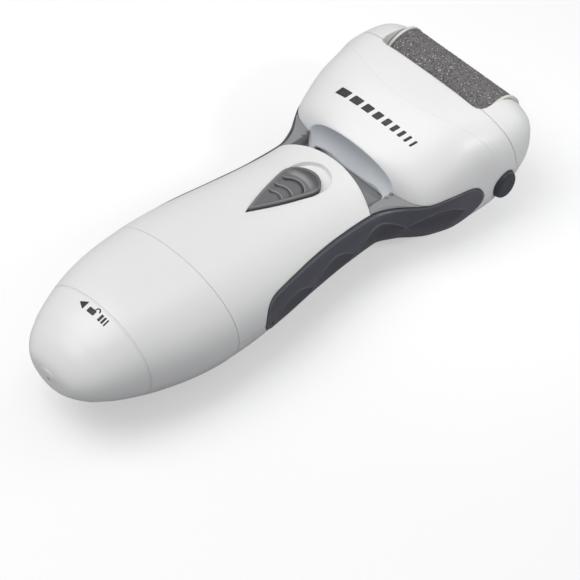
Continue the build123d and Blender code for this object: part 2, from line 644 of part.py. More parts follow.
def whole_head():
    """Head and nose in one, before the seam is cut."""
    bay_walls = outer_head & twin_block(150.5, 180, BAY_HALF, BAY_HALF + BAY_WALL, -40, 40)
    head = outer_head - inner_head
    head = head + bay_walls - motor_rod(MOTOR_R + 0.3, -30, BAY_HALF + 1.6)
    # lip at the window's rear edge closes the shell behind the roller
    lip = outer_head & across(152.2, 156.5, 11.5, 40, half=BAY_HALF + 0.2)
    head = head + (lip - roller_rod(10.9, -30, 30)) - window_cut()
    # the rear face above the neck is scooped out between the two rear corners
    scoop_back = outer_head & scoop_form(SCOOP_WALL) & across(118, 130, -0.9, 30, half=30)
    head = head + scoop_back - scoop_form(0.0)
    head = head - roller_rod(10.2, -BAY_HALF, BAY_HALF)
    head = head + lever_ears()
    openings = (
        roller_rod(4.1, 20, 24),  # drive hub
        roller_rod(1.6, -24, -20),  # retaining pin
        gear_rod(1.02, 21, 24),  # gear axle
        oval_rod(4.55, 5.15, -20, 20),  # release button
        block(153.2, 164.2, -24.0, -21.0, -7.2, -0.9),  # room for the lever to swing
        roller_rod(6.15, 23.3, 26.4),  # drive gear
        rest_cut,
    )
    for opening in openings:
        head = head - opening
    return head


def seam_side(far_x, offset):
    """Everything between far_x and the leaning seam, moved along X by offset."""
    low, high = [SEAM_TOP_X + SEAM_LEAN * (SEAM_TOP_Z - z) + offset for z in (-40, 40)]
    return prism_y([(far_x, -40), (far_x, 40), (high, 40), (low, -40)], -50, 50)


def head_shell(head):
    shell = head & seam_side(100, -GAP / 2)
    shell = shell - across(100, 131.12, -50, PART_Z + 0.02) - pocket_left - pocket_right
    return one(shell - across(100, 123.0, -20, 0.7, half=SLAB_HALF + GAP))


head_and_nose = whole_head()
save("head_shell", head_shell(head_and_nose))
save("nose_bezel", one(head_and_nose & seam_side(230, GAP / 2)))


# ---- roller ---------------------------------------------------------------------------------
def abrasive_sleeve():
    return roller_rod(ROLLER_R, -ROLLER_HALF, ROLLER_HALF) - roller_rod(CORE_R, -30, 30)


def roller_core():
    core = roller_rod(CORE_R, -ROLLER_HALF, ROLLER_HALF)
    core = core - roller_rod(5.6, -ROLLER_HALF + 2, ROLLER_HALF - 2)
    return core - roller_rod(2.2, -30, -15) - roller_rod(3.3, 15, 30)


def right_cap():
    """End cap with a round socket for the retaining pin."""
    cap = roller_rod(CAP_R, -CAP_END_Y, -ROLLER_HALF) + roller_rod(2.2, -ROLLER_HALF, -17.5)
    return one(cap - roller_rod(1.56, -22, -17))


def left_cap():
    """End cap with a hexagonal socket for the drive gear."""
    cap = roller_rod(CAP_R, ROLLER_HALF, CAP_END_Y) + roller_rod(3.3, 17.0, ROLLER_HALF)
    return one(cap - hex_rod(2.3, 22, 6))


save("abrasive_sleeve", abrasive_sleeve())
save("roller_core", roller_core())
save("roller_end_caps", right_cap(), left_cap())


# ---- gears ----------------------------------------------------------------------------------
def gear(centre_x, centre_z, teeth, y0, y1, tooth_angle, bore, play=0.05):
    """Involute spur gear along Y, with a tooth centred on tooth_angle in the XZ plane."""
    pitch_r = MODULE * teeth / 2
    base_r = pitch_r * math.cos(PRESSURE)
    tip_r, root_r = pitch_r + 0.8 * MODULE, pitch_r - 1.1 * MODULE
    involute = math.tan(PRESSURE) - PRESSURE
    half_tooth = math.pi / (2 * teeth) - play / (2 * pitch_r)
    start_r = max(base_r, root_r)
    flank = []  # radius, angle from the tooth's centre
    for i in range(7):
        radius = start_r + (tip_r - start_r) * i / 6
        roll = math.acos(min(1.0, base_r / radius))
        flank.append((radius, half_tooth + involute - (math.tan(roll) - roll)))
    if root_r < base_r:
        flank.insert(0, (root_r, flank[0][1]))
    tooth = [(r, -a) for r, a in flank] + flank[::-1]
    points = []
    for k in range(teeth):
        middle = tooth_angle + 2 * math.pi * k / teeth
        for r, a in tooth:
            points.append((centre_x + r * math.cos(middle + a), centre_z + r * math.sin(middle + a)))
    return prism_y(points, y0, y1) - rod_y(centre_x, centre_z, bore, y0 - 1, y1 + 1)


def drive_gear():
    """Gear with a round hub and a hexagonal drive end toward the roller."""
    wheel = gear(ROLLER_X, ROLLER_Z, DRIVE_TEETH, 23.7, 26.1, ROLLER_TO_GEAR, 0.5)
    return one(wheel + roller_rod(3.0, 21.5, 23.8) + hex_rod(2.25, 21.6, 4.2))


def compound_gear():
    """Small wheel meshing with the drive gear, big wheel meshing with the motor pinion."""
    bore = SHAFT_R + 0.05
    mesh_angle = ROLLER_TO_GEAR + math.pi + math.pi / SMALL_TEETH
    small = gear(GEAR_X, GEAR_Z, SMALL_TEETH, 23.7, 26.4, mesh_angle, bore)
    return one(small + gear(GEAR_X, GEAR_Z, BIG_TEETH, 26.4, 28.3, GEAR_TO_MOTOR, bore))


def motor_pinion():
    mesh_angle = GEAR_TO_MOTOR + math.pi + math.pi / PINION_TEETH
    return gear(MOTOR_X, MOTOR_Z, PINION_TEETH, 26.2, 28.6, mesh_angle, SHAFT_R)


save("drive_gear", drive_gear())
save("hub_bushing", roller_rod(4.1, 21.5, 23.0) - roller_rod(3.05, 20, 24))
save("compound_gear", compound_gear())
save("gear_axle", gear_rod(1.0, 21.5, 29.2))
save("motor_pinion", motor_pinion())
save("motor_shaft", motor_rod(SHAFT_R, -9.0, 28.9))

# ---- motor, gear plate and motor screws -------------------------------------------------------
CAN_FLAT = 7.6  # half height between the motor's flats
BEARING_R = 3.0


def between_flats(half):
    return block(120, 170, -20, 30, MOTOR_Z - half, MOTOR_Z + half)


def motor_can():
    can = (motor_rod(MOTOR_R, -5.0, 20.2) & between_flats(CAN_FLAT))
    can = can + motor_rod(BEARING_R, 20.1, 21.4)
    can = can - motor_rod(SHAFT_R + 0.05, -10, 30)
    return one(can - (motor_rod(9.1, -6, 0) & between_flats(6.9)))


def motor_end_cap():
    plug = motor_rod(9.0, -5.0, -0.2) & between_flats(6.8)
    cap = plug + (motor_rod(9.6, -6.4, -5.02) & between_flats(CAN_FLAT))
    return one(cap + motor_rod(BEARING_R, -8.2, -6.3) - motor_rod(SHAFT_R + 0.05, -12, 5))


def motor_terminal(z):
    return block(MOTOR_X - 2, MOTOR_X - 1.7, -9.4, -6.42, z - 1.0, z + 1.0)


def gear_plate():
    """Plate between motor and gears, with a cradle rib that runs under the motor."""
    limit = hull(head_at, PLATE_X, WALL + 0.15)
    plate = limit & block(132.5, 150.3, 21.5, 23.0, -14, 15.5)
    plate = plate - motor_rod(1.3, 20, 24)
    for rise in (-MOTOR_SCREW_RISE, MOTOR_SCREW_RISE):
        plate = plate - motor_rod(0.9, 20, 24, rise)
    rib = (limit & block(133.0, 134.6, -20, 22.0, -14, 12)) - block(132, 136, -13.5, 9, -9, -1.2)
    rib = rib + (limit & block(134.0, 150.3, 19.9, 22.0, -14, -10.5))
    return one(plate + rib)


def motor_screw(rise):
    screw = motor_rod(0.85, 20.22, 23.2, rise) + motor_rod(1.6, 23.02, 24.2, rise)
    z = MOTOR_Z + rise
    return one(screw - block(MOTOR_X - 2, MOTOR_X + 2, 23.7, 25, z - 0.25, z + 0.25))


save("motor_can", motor_can())
save("motor_end_cap", motor_end_cap())
save("motor_terminals", motor_terminal(-5.4), motor_terminal(5.4))
save("gear_plate", gear_plate())
save("motor_screws", motor_screw(-MOTOR_SCREW_RISE), motor_screw(MOTOR_SCREW_RISE))


# ---- trough under the roller ------------------------------------------------------------------
def roller_trough():
    trough = roller_rod(10.15, -BAY_HALF + 0.02, BAY_HALF - 0.02) - roller_rod(9.75, -30, 30)
    return one(trough - (across(140, 200, 10.8, 40) + across(168, 200, 1.2, 40)))


save("roller_trough", roller_trough())

# ---- release button, lever, retaining pin and its spring --------------------------------------
BUTTON_BACK_Y, BUTTON_FACE_Y = -28.2, -35.3
NOSE_R = 1.1  # round nose that presses on the lever
PIN_COLLAR_Y = -26.8


def release_button():
    button = oval_rod(4.4, 5.0, BUTTON_BACK_Y, BUTTON_BACK_Y - BUTTON_FACE_Y)
    button = fillet(button.edges().sort_by(Axis.Y)[0], 1.5)
    button = button + oval_rod(4.95, 5.6, -27.95, 0.65)
    nose_y = LEVER_FACE_Y - NOSE_R
    ball = Pos(BUTTON_X, nose_y, BUTTON_Z) * Sphere(NOSE_R)
    return one(button + ball + rod_y(BUTTON_X, BUTTON_Z, NOSE_R, -28.3, nose_y))


def release_lever():
    """Plate below the pivot for the button, forked arm above it for the pin."""
    plate = [
        (BUTTON_X - 1.6, BUTTON_Z - 2.2), (BUTTON_X + 2.4, BUTTON_Z - 2.2),
        (ROLLER_X + 2.6, LEVER_Z), (BUTTON_X - 1.6, LEVER_Z),
    ]
    arm_x0, arm_x1 = ROLLER_X - 2.6, ROLLER_X + 2.6
    lever = prism_y(plate, LEVER_Y - LEVER_HALF, LEVER_Y + LEVER_HALF)
    lever = lever + block(arm_x0, arm_x1, LEVER_Y - 0.5, LEVER_Y + 0.5, LEVER_Z, ROLLER_Z)
    lever = lever + rod_x(LEVER_Y, ROLLER_Z, LEVER_HALF, arm_x0, arm_x1)
    lever = lever - block(
        ROLLER_X - 1.35, ROLLER_X + 1.35, LEVER_Y - 3, LEVER_Y + 3, ROLLER_Z - 2.6, ROLLER_Z + 5
    )
    lever = lever + rod_x(LEVER_Y, LEVER_Z, 1.3, BUTTON_X - 1.0, ROLLER_X + 1.4)
    return one(lever - rod_x(LEVER_Y, LEVER_Z, PIVOT_R + 0.05, BUTTON_X - 6, ROLLER_X + 6))


def retaining_pin():
    pin = roller_rod(1.5, -23.2, -20.0) + roller_rod(1.0, -26.9, -23.1)
    return one(pin + roller_rod(1.9, PIN_COLLAR_Y, LEVER_FACE_Y))


def pin_spring():
    """Spring from just outside the pin's collar toward -Y."""
    wire = 0.3
    spring = coil(radius=1.45, wire=wire, length=2.9, turns=3.5)
    start = Location((ROLLER_X, PIN_COLLAR_Y - 0.04 - wire / 2, ROLLER_Z))
    return start * (Rot(90, 0, 0) * spring)


save("release_button", release_button())
save("release_lever", release_lever())
save("lever_pivot", rod_x(LEVER_Y, LEVER_Z, PIVOT_R, BUTTON_X - 3.4, ROLLER_X + 3.6))
save("retaining_pin", retaining_pin())
save("pin_spring", pin_spring())

# ---- circuit board, switch body and wires -----------------------------------------------------
BOARD_TOP = 3.55
SEAT_Z = BOARD_TOP + 0.02  # underside of the components
WIRE_R = 0.55


def circuit_board():
    board = across(76.0, 109.0, 2.35, BOARD_TOP, half=9.0)
    for x, y in CASE_SCREWS:
        board = board - rod_z(x, y, 3.6, 0, 6)
    return one(board)


save("circuit_board", circuit_board())
save("switch_housing", across(85.0, 95.0, SEAT_Z, 5.4, half=4.5))
save(
    "board_components",
    block(98, 101, -3, -1, SEAT_Z, 4.8),
    rod_z(99.5, 3.0, 1.8, SEAT_Z, 5.6),
    across(78.5, 80.5, SEAT_Z, 4.3, half=1.5),
)

# X, Y, Z along each wire; both follow the handle run, the black one mirrored to the right
HANDLE_RUN = [
    (72.9, CELL_Y, AXIS_Z - 1.3), (76, 6.4, -4.2), (86, 5.0, -5.6),
    (98, 4.6, -5.6), (112, 4.6, -5.4), (124, 4.4, -5.6),
]
RED_END = [(131, 1.0, -5.2), (134.5, -6.5, -4.0), (138.5, -11.2, -1.2), (142.6, -9.6, 5.4)]
BLACK_END = [(131, -5.4, -6.2), (137, -9.6, -6.4), (142.6, -9.6, -5.4)]
red_path = HANDLE_RUN + RED_END
black_path = [(x, -y, z) for x, y, z in HANDLE_RUN] + BLACK_END
save("wire_red", sweep_round(Spline(*red_path), WIRE_R))
save("wire_black", sweep_round(Spline(*black_path), WIRE_R))
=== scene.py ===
"""Battery hand file: a white body with rubber side grips, a thumb slide and a grit roller.

It lies along X with the battery cover at the low end and the roller across Y at the high end;
+Y is the left side and +Z is up. Pieces are drawn in mm in a layout frame whose x = 0 is the
cover's tip, then moved by SHIFT and scaled to the frame of the CAD pieces (m).
"""
import json
import math

import bmesh
import bpy
import numpy as np
from mathutils import Matrix, Vector
from mathutils.bvhtree import BVHTree
from mathutils.geometry import delaunay_2d_cdt


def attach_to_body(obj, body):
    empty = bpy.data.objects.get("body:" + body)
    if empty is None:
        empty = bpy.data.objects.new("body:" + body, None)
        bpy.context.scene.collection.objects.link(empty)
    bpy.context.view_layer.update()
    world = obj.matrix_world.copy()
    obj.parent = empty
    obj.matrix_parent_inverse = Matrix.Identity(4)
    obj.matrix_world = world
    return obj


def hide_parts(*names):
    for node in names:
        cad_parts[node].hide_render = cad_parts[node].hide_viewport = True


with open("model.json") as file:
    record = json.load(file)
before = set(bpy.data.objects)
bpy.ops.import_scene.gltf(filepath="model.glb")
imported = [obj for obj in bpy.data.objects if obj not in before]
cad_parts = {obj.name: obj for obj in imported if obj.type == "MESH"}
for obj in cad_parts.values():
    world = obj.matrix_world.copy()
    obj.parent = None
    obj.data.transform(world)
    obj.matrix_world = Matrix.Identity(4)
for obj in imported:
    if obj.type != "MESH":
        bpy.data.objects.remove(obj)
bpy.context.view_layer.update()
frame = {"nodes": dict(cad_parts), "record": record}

MM = 0.001
SHIFT = np.array([-138.0, 0.0, 19.0])  # layout frame to CAD frame, mm

# Body sections: x, half width, top z, bottom z, z of the widest point,
# superellipse exponent above that point, exponent below it
BODY = [
    (0, 0.5, 2.5, 1.7, 2.1, 2.05, 1.95),
    (0.6, 7.0, 4.8, -3.8, 1.5, 2.05, 1.97),
    (2.5, 11.3, 7.6, -6.0, 1.3, 2.05, 1.97),
    (6, 14.9, 10.6, -8.6, 1.4, 2.05, 1.96),
    (12, 18.5, 14.0, -11.7, 1.5, 2.05, 1.95),
    (20, 21.8, 16.6, -15.0, 1.5, 2.06, 1.95),
    (30, 24.8, 17.8, -17.8, 1.2, 2.07, 1.95),
    (42, 26.7, 17.8, -19.7, 0.4, 2.08, 1.95),
    (55, 27.3, 16.8, -19.8, 0.0, 2.08, 1.95),
    (70, 26.2, 15.1, -19.0, -0.5, 2.08, 1.95),
    (85, 24.3, 13.2, -18.3, -1.2, 2.08, 1.95),
    (100, 22.9, 11.4, -17.8, -2.0, 2.08, 1.95),
    (112, 22.6, 10.0, -17.6, -2.2, 2.08, 1.97),
    (120.8, 25.2, 11.2, -18.8, -2.8, 2.2, 2.1),
    (125, 27.6, 13.4, -19.6, -2.8, 2.45, 2.3),
    (128, 29.2, 14.9, -20.1, -2.7, 2.6, 2.45),
    (131, 30.2, 16.4, -20.4, -2.6, 2.8, 2.6),
    (138, 31.8, 19.3, -20.6, -2.3, 3.2, 2.9),
    (146, 32.5, 21.5, -20.2, -2.0, 3.5, 2.9),
    (154, 33.9, 20.8, -18.0, -0.4, 3.6, 2.8),
    (161, 33.4, 19.9, -14.0, 1.0, 3.6, 2.76),
    (167, 32.0, 18.2, -8.6, 2.2, 3.6, 2.76),
]


# ---- frames and curves -------------------------------------------------------------------
def to_row(points):
    """Layout points (mm) in the CAD frame (m)."""
    return (np.asarray(points) + SHIFT) * MM


def place(x, y, z):
    return Vector(to_row((x, y, z)))


def bell(value, centre, width):
    return np.exp(-(((value - centre) / width) ** 2))


def smoothstep(start, end, value):
    t = np.clip((value - start) / (end - start), 0, 1)
    return t * t * (3 - 2 * t)


def monotone_slopes(x, y):
    """Slopes for a cubic through the points that never overshoots them."""
    n = len(x)
    h = [x[i + 1] - x[i] for i in range(n - 1)]
    d = [(y[i + 1] - y[i]) / h[i] for i in range(n - 1)]
    slopes = [d[0]] + [0.0] * (n - 2) + [d[-1]]
    for i in range(1, n - 1):
        if d[i - 1] * d[i] > 0:
            a, b = 2 * h[i] + h[i - 1], h[i] + 2 * h[i - 1]
            slopes[i] = (a + b) / (a / d[i - 1] + b / d[i])
    return slopes


def section_curve(rows):
    """A function giving the six section values at any x, by Hermite cubics."""
    x = np.array([row[0] for row in rows], float)
    values = np.array([row[1:] for row in rows], float)
    slopes = np.array([monotone_slopes(list(x), list(column)) for column in values.T]).T

    def section(at):
        at = np.clip(np.asarray(at, float), x[0], x[-1])
        i = np.clip(np.searchsorted(x, at, side="left") - 1, 0, len(x) - 2)
        h = x[i + 1] - x[i]
        s = (at - x[i]) / h
        a, b = (1 + 2 * s) * (1 - s) ** 2, s * (1 - s) ** 2
        c, d = s * s * (3 - 2 * s), s * s * (s - 1)
        out = (a[..., None] * values[i] + (b * h)[..., None] * slopes[i]
               + c[..., None] * values[i + 1] + (d * h)[..., None] * slopes[i + 1])
        return [out[..., k] for k in range(6)]

    return section


body_section = section_curve(BODY)


def side_y(x, z, inward):
    """Half width of the body surface at (x, z), drawn inward."""
    width, top, bottom, mid, n_up, n_down = body_section(x)
    above = z >= mid
    height = np.where(above, top - inward - mid, mid - bottom - inward)
    n = np.where(above, n_up, n_down)
    q = np.clip(np.abs(z - mid) / height, 0, 0.999)
    return (width - inward) * (1 - q**n) ** (1 / n)


def top_z(x, y, inward):
    """Height of the body surface at (x, y), drawn inward."""
    width, top, _, mid, n, _ = body_section(x)
    q = np.clip(np.abs(y) / (width - inward), 0, 0.999)
    return mid + (top - inward - mid) * (1 - q**n) ** (1 / n)


def resample(loop, count):
    closed = np.vstack([loop, loop[:1]])
    steps = np.linalg.norm(np.diff(closed, axis=0), axis=1)
    run = np.concatenate([[0], np.cumsum(steps)])
    goal = np.linspace(0, run[-1], count, endpoint=False)
    return np.stack([np.interp(goal, run, closed[:, 0]), np.interp(goal, run, closed[:, 1])], 1)


def closed_curve(points, count):
    """Evenly spaced points on the periodic cubic spline through the points."""
    p = np.array(points, float)
    n = len(p)
    h = np.linalg.norm(np.roll(p, -1, 0) - p, axis=1)
    system = np.zeros((n, n))
    right_side = np.zeros((n, 2))
    for i in range(n):
        before, after = h[i - 1], h[i]
        j = (i + 1) % n
        system[i, (i - 1) % n] += before
        system[i, i] += 2 * (before + after)
        system[i, j] += after
        right_side[i] = 6 * ((p[j] - p[i]) / after - (p[i] - p[i - 1]) / before)
    m = np.linalg.solve(system, right_side)
    dense = []
    for i in range(n):
        j = (i + 1) % n
        for s in np.linspace(0, h[i], 60, endpoint=False):
            u = h[i] - s
            dense.append((m[i] * u**3 + m[j] * s**3) / (6 * h[i])
                         + (p[i] / h[i] - m[i] * h[i] / 6) * u
                         + (p[j] / h[i] - m[j] * h[i] / 6) * s)
    return resample(np.array(dense), count)


def anticlockwise(loop):
    x, y = loop[:, 0], loop[:, 1]
    area = 0.5 * np.sum(x * np.roll(y, -1) - np.roll(x, -1) * y)
    return loop[::-1] if area < 0 else loop


def inset(loop, depth):
    """The anticlockwise loop moved inward."""
    t = np.roll(loop, -1, 0) - np.roll(loop, 1, 0)
    t /= np.linalg.norm(t, axis=1)[:, None]
    return loop + depth * np.stack([-t[:, 1], t[:, 0]], 1)


def distance(points, loop):
    """Distance from each point to the loop, and whether the point is inside."""
    a, b = loop, np.roll(loop, -1, 0)
    ab = b - a
    ya, yb = a[:, 1], b[:, 1]
    best = np.full(len(points), 1e9)
    inside = np.zeros(len(points), bool)
    batch = 4000  # keeps the point-by-edge arrays small
    for k in range(0, len(points), batch):
        q = points[k : k + batch]
        ap = q[:, None, :] - a[None]
        s = np.clip((ap * ab).sum(2) / (ab**2).sum(1), 0, 1)
        best[k : k + batch] = np.linalg.norm(ap - s[..., None] * ab, axis=2).min(1)
        crosses = (ya > q[:, None, 1]) != (yb > q[:, None, 1])
        with np.errstate(divide="ignore", invalid="ignore"):  # level edges never cross
            cross_x = a[:, 0] + (q[:, None, 1] - ya) * ab[:, 0] / ab[:, 1]
        inside[k : k + batch] = (crosses & (q[:, None, 0] < cross_x)).sum(1) % 2 == 1
    return best, inside


# ---- meshes ------------------------------------------------------------------------------
def plate_mesh(loop, step, rings=(), guides=()):
    """Triangulate inside the loop: rings near the edge, a staggered grid, then guide points.

    Returns the points, the triangles, the rim's indices and the anticlockwise loop.
    """
    loop = anticlockwise(loop)
    n = len(loop)
    low, high = loop.min(0), loop.max(0)
    columns = np.arange(low[0], high[0] + step, step)
    rows = np.arange(low[1], high[1] + step * 0.866, step * 0.866)
    grid = np.array([(x + (0.5 * step if j % 2 else 0), y)
                     for j, y in enumerate(rows) for x in columns])
    dist, inside = distance(grid, loop)
    grid = grid[inside & (dist > (rings[-1] if rings else 0) + 0.6 * step)]
    groups = [loop]
    for depth in rings:
        ring = inset(loop, depth)
        dist, inside = distance(ring, loop)
        groups.append(ring[inside & (dist > depth * 0.8)])
    groups.append(grid)
    groups += [np.array(guide, float) for guide in guides]
    points = [Vector((float(x), float(y))) for x, y in np.vstack(groups)]
    edges = [(i, (i + 1) % n) for i in range(n)]
    result = delaunay_2d_cdt(points, edges, [], 1, 1e-6)
    verts = np.array([list(v) for v in result[0]])
    tris = [tuple(f) for f in result[2] if len(f) == 3]
    new_index = {source: i for i, sources in enumerate(result[3]) for source in sources}
    return verts, tris, [new_index[i] for i in range(n)], loop


def closed_plate(top, bottom, tris, rim):
    """A closed solid from matching top and bottom points."""
    n = len(top)
    faces = list(tris) + [(c + n, b + n, a + n) for a, b, c in tris]
    for a, b in zip(rim, rim[1:] + rim[:1]):
        faces.append((a, a + n, b + n, b))
    return np.vstack([top, bottom]), faces


def mesh_object(name, verts, faces, sharp_deg=None):
    """A smooth-shaded object facing outward; edges past sharp_deg stay sharp."""
    mesh = bpy.data.meshes.new(name)
    mesh.from_pydata([tuple(map(float, v)) for v in verts], [],
                     [tuple(map(int, f)) for f in faces])
    mesh.validate()
    obj = bpy.data.objects.new(name, mesh)
    bpy.context.scene.collection.objects.link(obj)
    bm = bmesh.new()
    bm.from_mesh(mesh)
    bmesh.ops.recalc_face_normals(bm, faces=bm.faces)
    if bm.calc_volume(signed=True) < 0:
        bmesh.ops.reverse_faces(bm, faces=bm.faces)
    for face in bm.faces:
        face.smooth = True
    if sharp_deg is not None:
        for edge in bm.edges:
            if len(edge.link_faces) == 2 and edge.calc_face_angle(0) > math.radians(sharp_deg):
                edge.smooth = False
    bm.to_mesh(mesh)
    bm.free()
    return obj


def attach(obj, body, slot, material=None, replaced=None):
    obj.data.materials.append(materials[material or slot])
    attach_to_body(obj, body)
    if replaced:
        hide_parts(replaced)


def store_relief(obj, values):
    """Store how raised (+) or sunk (-) each vertex is, as the weight of its painted highlight
    (+) or painted shade (-) in the shader.
    """
    attribute = obj.data.attributes.new("relief", "FLOAT", "POINT")
    for k, value in enumerate(np.clip(values, -1, 1)):
        attribute.data[k].value = float(value)


def edge_drop(dist, radius):
    """Drop of a rounded edge at a distance inside the outline."""
    d = np.clip(dist, 0, radius)
    return radius - np.sqrt(np.maximum(radius * radius - (radius - d) ** 2, 0))


# ---- shader building ---------------------------------------------------------------------
def srgb(*channels):
    """Linear colour from 0-255 sRGB channels."""
    return tuple(((v / 255 + 0.055) / 1.055) ** 2.4 if v / 255 > 0.04045 else v / 255 / 12.92
                 for v in channels)


def scaled(rgb, factor, lift=0.0):
    return tuple(min(1, v * factor + lift) for v in rgb)


class Shader:
    """A material under construction. Scales and distances are in metres."""

    def __init__(self, name):
        self.mat = bpy.data.materials.new(name)
        self.mat.use_nodes = True
        self.tree = self.mat.node_tree
        self.bsdf = next(n for n in self.tree.nodes if n.type == "BSDF_PRINCIPLED")
        self.coord = self.add("ShaderNodeTexCoord").outputs["Object"]

    def put(self, socket, value):
        if isinstance(value, bpy.types.NodeSocket):
            self.tree.links.new(value, socket)
        else:
            socket.default_value = value

    def add(self, kind, inputs=None, **props):
        node = self.tree.nodes.new(kind)
        for key, value in props.items():
            setattr(node, key, value)
        for key, value in (inputs or {}).items():
            self.put(node.inputs[key], value)
        return node

    def noise(self, scale, detail=3.0, rough=0.55, stretch=None):
        node = self.add("ShaderNodeTexNoise",
                        {"Scale": scale, "Detail": detail, "Roughness": rough})
        coord = self.coord
        if stretch:
            mapping = self.add("ShaderNodeMapping", {"Scale": stretch, "Vector": coord})
            coord = mapping.outputs["Vector"]
        self.put(node.inputs["Vector"], coord)
        return node.outputs["Fac"]

    def cells(self, scale, feature="F1", out="Distance"):
        node = self.add("ShaderNodeTexVoronoi", feature=feature)
        self.put(node.inputs["Vector"], self.coord)
        self.put(node.inputs["Scale"], scale)
        return node.outputs[out]

    def ramp(self, value, span=(0.0, 1.0), to=(0.0, 1.0), smooth=False):
        """Map the span onto another range, clamped."""
        inputs = {"Value": value, "From Min": span[0], "From Max": span[1],
                  "To Min": to[0], "To Max": to[1]}
        kind = "SMOOTHSTEP" if smooth else "LINEAR"
        node = self.add("ShaderNodeMapRange", inputs, interpolation_type=kind, clamp=True)
        return node.outputs["Result"]

    def math(self, op, a, b=0.0, c=0.0):
        return self.add("ShaderNodeMath", {0: a, 1: b, 2: c}, operation=op).outputs[0]

    def mix(self, factor, a, b):
        a, b = (v + (1.0,) if isinstance(v, tuple) else v for v in (a, b))
        return self.add("ShaderNodeMix", {0: factor, 6: a, 7: b}, data_type="RGBA").outputs[2]

    def xyz(self):
        return self.add("ShaderNodeSeparateXYZ", {0: self.coord}).outputs

    def bevel(self, radius):
        return self.add("ShaderNodeBevel", {"Radius": radius}, samples=4).outputs["Normal"]

    def edge(self, bevel, span=(0.01, 0.10)):
        """1 on corners, where the bevelled normal leaves the true one."""
        true_normal = self.add("ShaderNodeNewGeometry").outputs["Normal"]
        dot = self.add("ShaderNodeVectorMath", {0: bevel, 1: true_normal},
                       operation="DOT_PRODUCT")
        return self.ramp(self.math("SUBTRACT", 1.0, dot.outputs["Value"]), span)

    def shade(self, distance):
        node = self.add("ShaderNodeAmbientOcclusion", {"Distance": distance}, samples=6)
        return node.outputs["AO"]

    def bump(self, height, distance, normal=None):
        inputs = {"Strength": 1.0, "Distance": distance, "Height": height}
        if normal is not None:
            inputs["Normal"] = normal
        return self.add("ShaderNodeBump", inputs).outputs["Normal"]

    def finish(self, color, rough, normal, metallic=0.0, specular=0.5, coat=0.0, sheen=0.0):
        inputs = {
            "Base Color": color, "Roughness": rough, "Normal": normal,
            "Metallic": metallic, "Specular IOR Level": specular,
            "Coat Weight": coat, "Coat Roughness": 0.2,
            "Sheen Weight": sheen, "Sheen Roughness": 0.45,
        }
        for key, value in inputs.items():
            self.put(self.bsdf.inputs[key], value)
        return self.mat


def plastic(name, rgb, rough, vary=0.02, speck=0.03, peel=6e-6, peel_scale=900, edge_wear_and_highlight=0.25,
            edge_wear_and_highlight_rgb=None, crevice_shade=0.25, radius=0.0003, specular=0.5, coat=0.0, sheen=0.0,
            edge_at=(0.01, 0.10), extra=None):
    """Moulded plastic or rubber.

    vary: slow colour drift; speck: fine flecks; peel: depth of the moulded texture;
    edge_wear_and_highlight: lightening of edges, partly worn edges and partly painted
    highlight;
    crevice_shade: painted shade darkening seams and crevices; radius: shaded edge radius;
    edge_at: normal change that counts as an edge; extra: a last step of its own.
    """
    s = Shader(name)
    drift = s.ramp(s.noise(scale=22), span=(0.3, 0.7))
    mid = s.noise(scale=160, detail=5)
    texture = s.noise(scale=peel_scale, rough=0.5)
    color = s.mix(drift, scaled(rgb, 1 - vary), scaled(rgb, 1 + vary))
    fleck = s.ramp(s.noise(scale=2600, detail=2), span=(0.62, 0.74))
    color = s.mix(s.math("MULTIPLY", fleck, speck), color, scaled(rgb, 0.55))
    bevel = s.bevel(radius)
    uneven = s.ramp(mid, span=(0.35, 0.65), to=(0.35, 1.0))
    rim = s.math("MULTIPLY", s.edge(bevel, edge_at), uneven)
    worn = edge_wear_and_highlight_rgb or scaled(rgb, 1.5, lift=0.03)
    # edges lightened by the bevel mask: partly worn edges, partly painted highlight
    color = s.mix(s.math("MULTIPLY", rim, edge_wear_and_highlight), color, worn)
    # painted shade: seams and crevices darkened by ambient occlusion
    crevice_shade_mask = s.ramp(s.shade(distance=0.0016), span=(0.25, 0.75), to=(crevice_shade, 0.0))
    color = s.mix(crevice_shade_mask, color, scaled(rgb, 0.42))
    rough = s.ramp(mid, span=(0.3, 0.7), to=(rough - 0.04, rough + 0.05))
    rough = s.math("ADD", rough, s.math("MULTIPLY", rim, -0.06))
    normal = s.bump(texture, peel, bevel)
    if extra:
        color, rough, normal = extra(s, color, rough, normal)
    return s.finish(color, rough, normal, specular=specular, coat=coat, sheen=sheen)


def metal(name, rgb, rough, stretch=(1, 14, 1)):
    """Brushed metal; stretch sets the direction of the lines."""
    s = Shader(name)
    line = s.noise(scale=900, detail=4, rough=0.6, stretch=stretch)
    mid = s.noise(scale=120, detail=4)
    color = s.mix(s.ramp(line, span=(0.3, 0.7)), scaled(rgb, 0.82), rgb)
    bevel = s.bevel(radius=0.00015)
    color = s.mix(s.math("MULTIPLY", s.edge(bevel), 0.3), color, scaled(rgb, 1.25))
    # painted shade: seams and crevices darkened by ambient occlusion
    crevice_shade_mask = s.ramp(s.shade(distance=0.001), span=(0.2, 0.8), to=(0.45, 0.0))
    color = s.mix(crevice_shade_mask, color, scaled(rgb, 0.35))
    rough = s.math("ADD", s.ramp(line, span=(0.3, 0.7), to=(rough - 0.06, rough + 0.08)),
                   s.ramp(mid, span=(0.4, 0.7), to=(0.0, 0.08)))
    return s.finish(color, rough, s.bump(line, distance=3e-6, normal=bevel), metallic=1.0)


# Step line across the head: x on the centre line, and how far it bows by a given y, mm
STEP_X, STEP_BOW, STEP_BOW_Y = 141.5, 5.3, 24.0
STEP_HALF = 0.16
# Ellipsoid round the scooped face behind the head, where its painted bluish shade tint goes:
# centre and half axes, mm
SCOOP_CENTRE, SCOOP_SIZE = (107.0, 0.0, 6.0), (18.5, 32.0, 12.5)


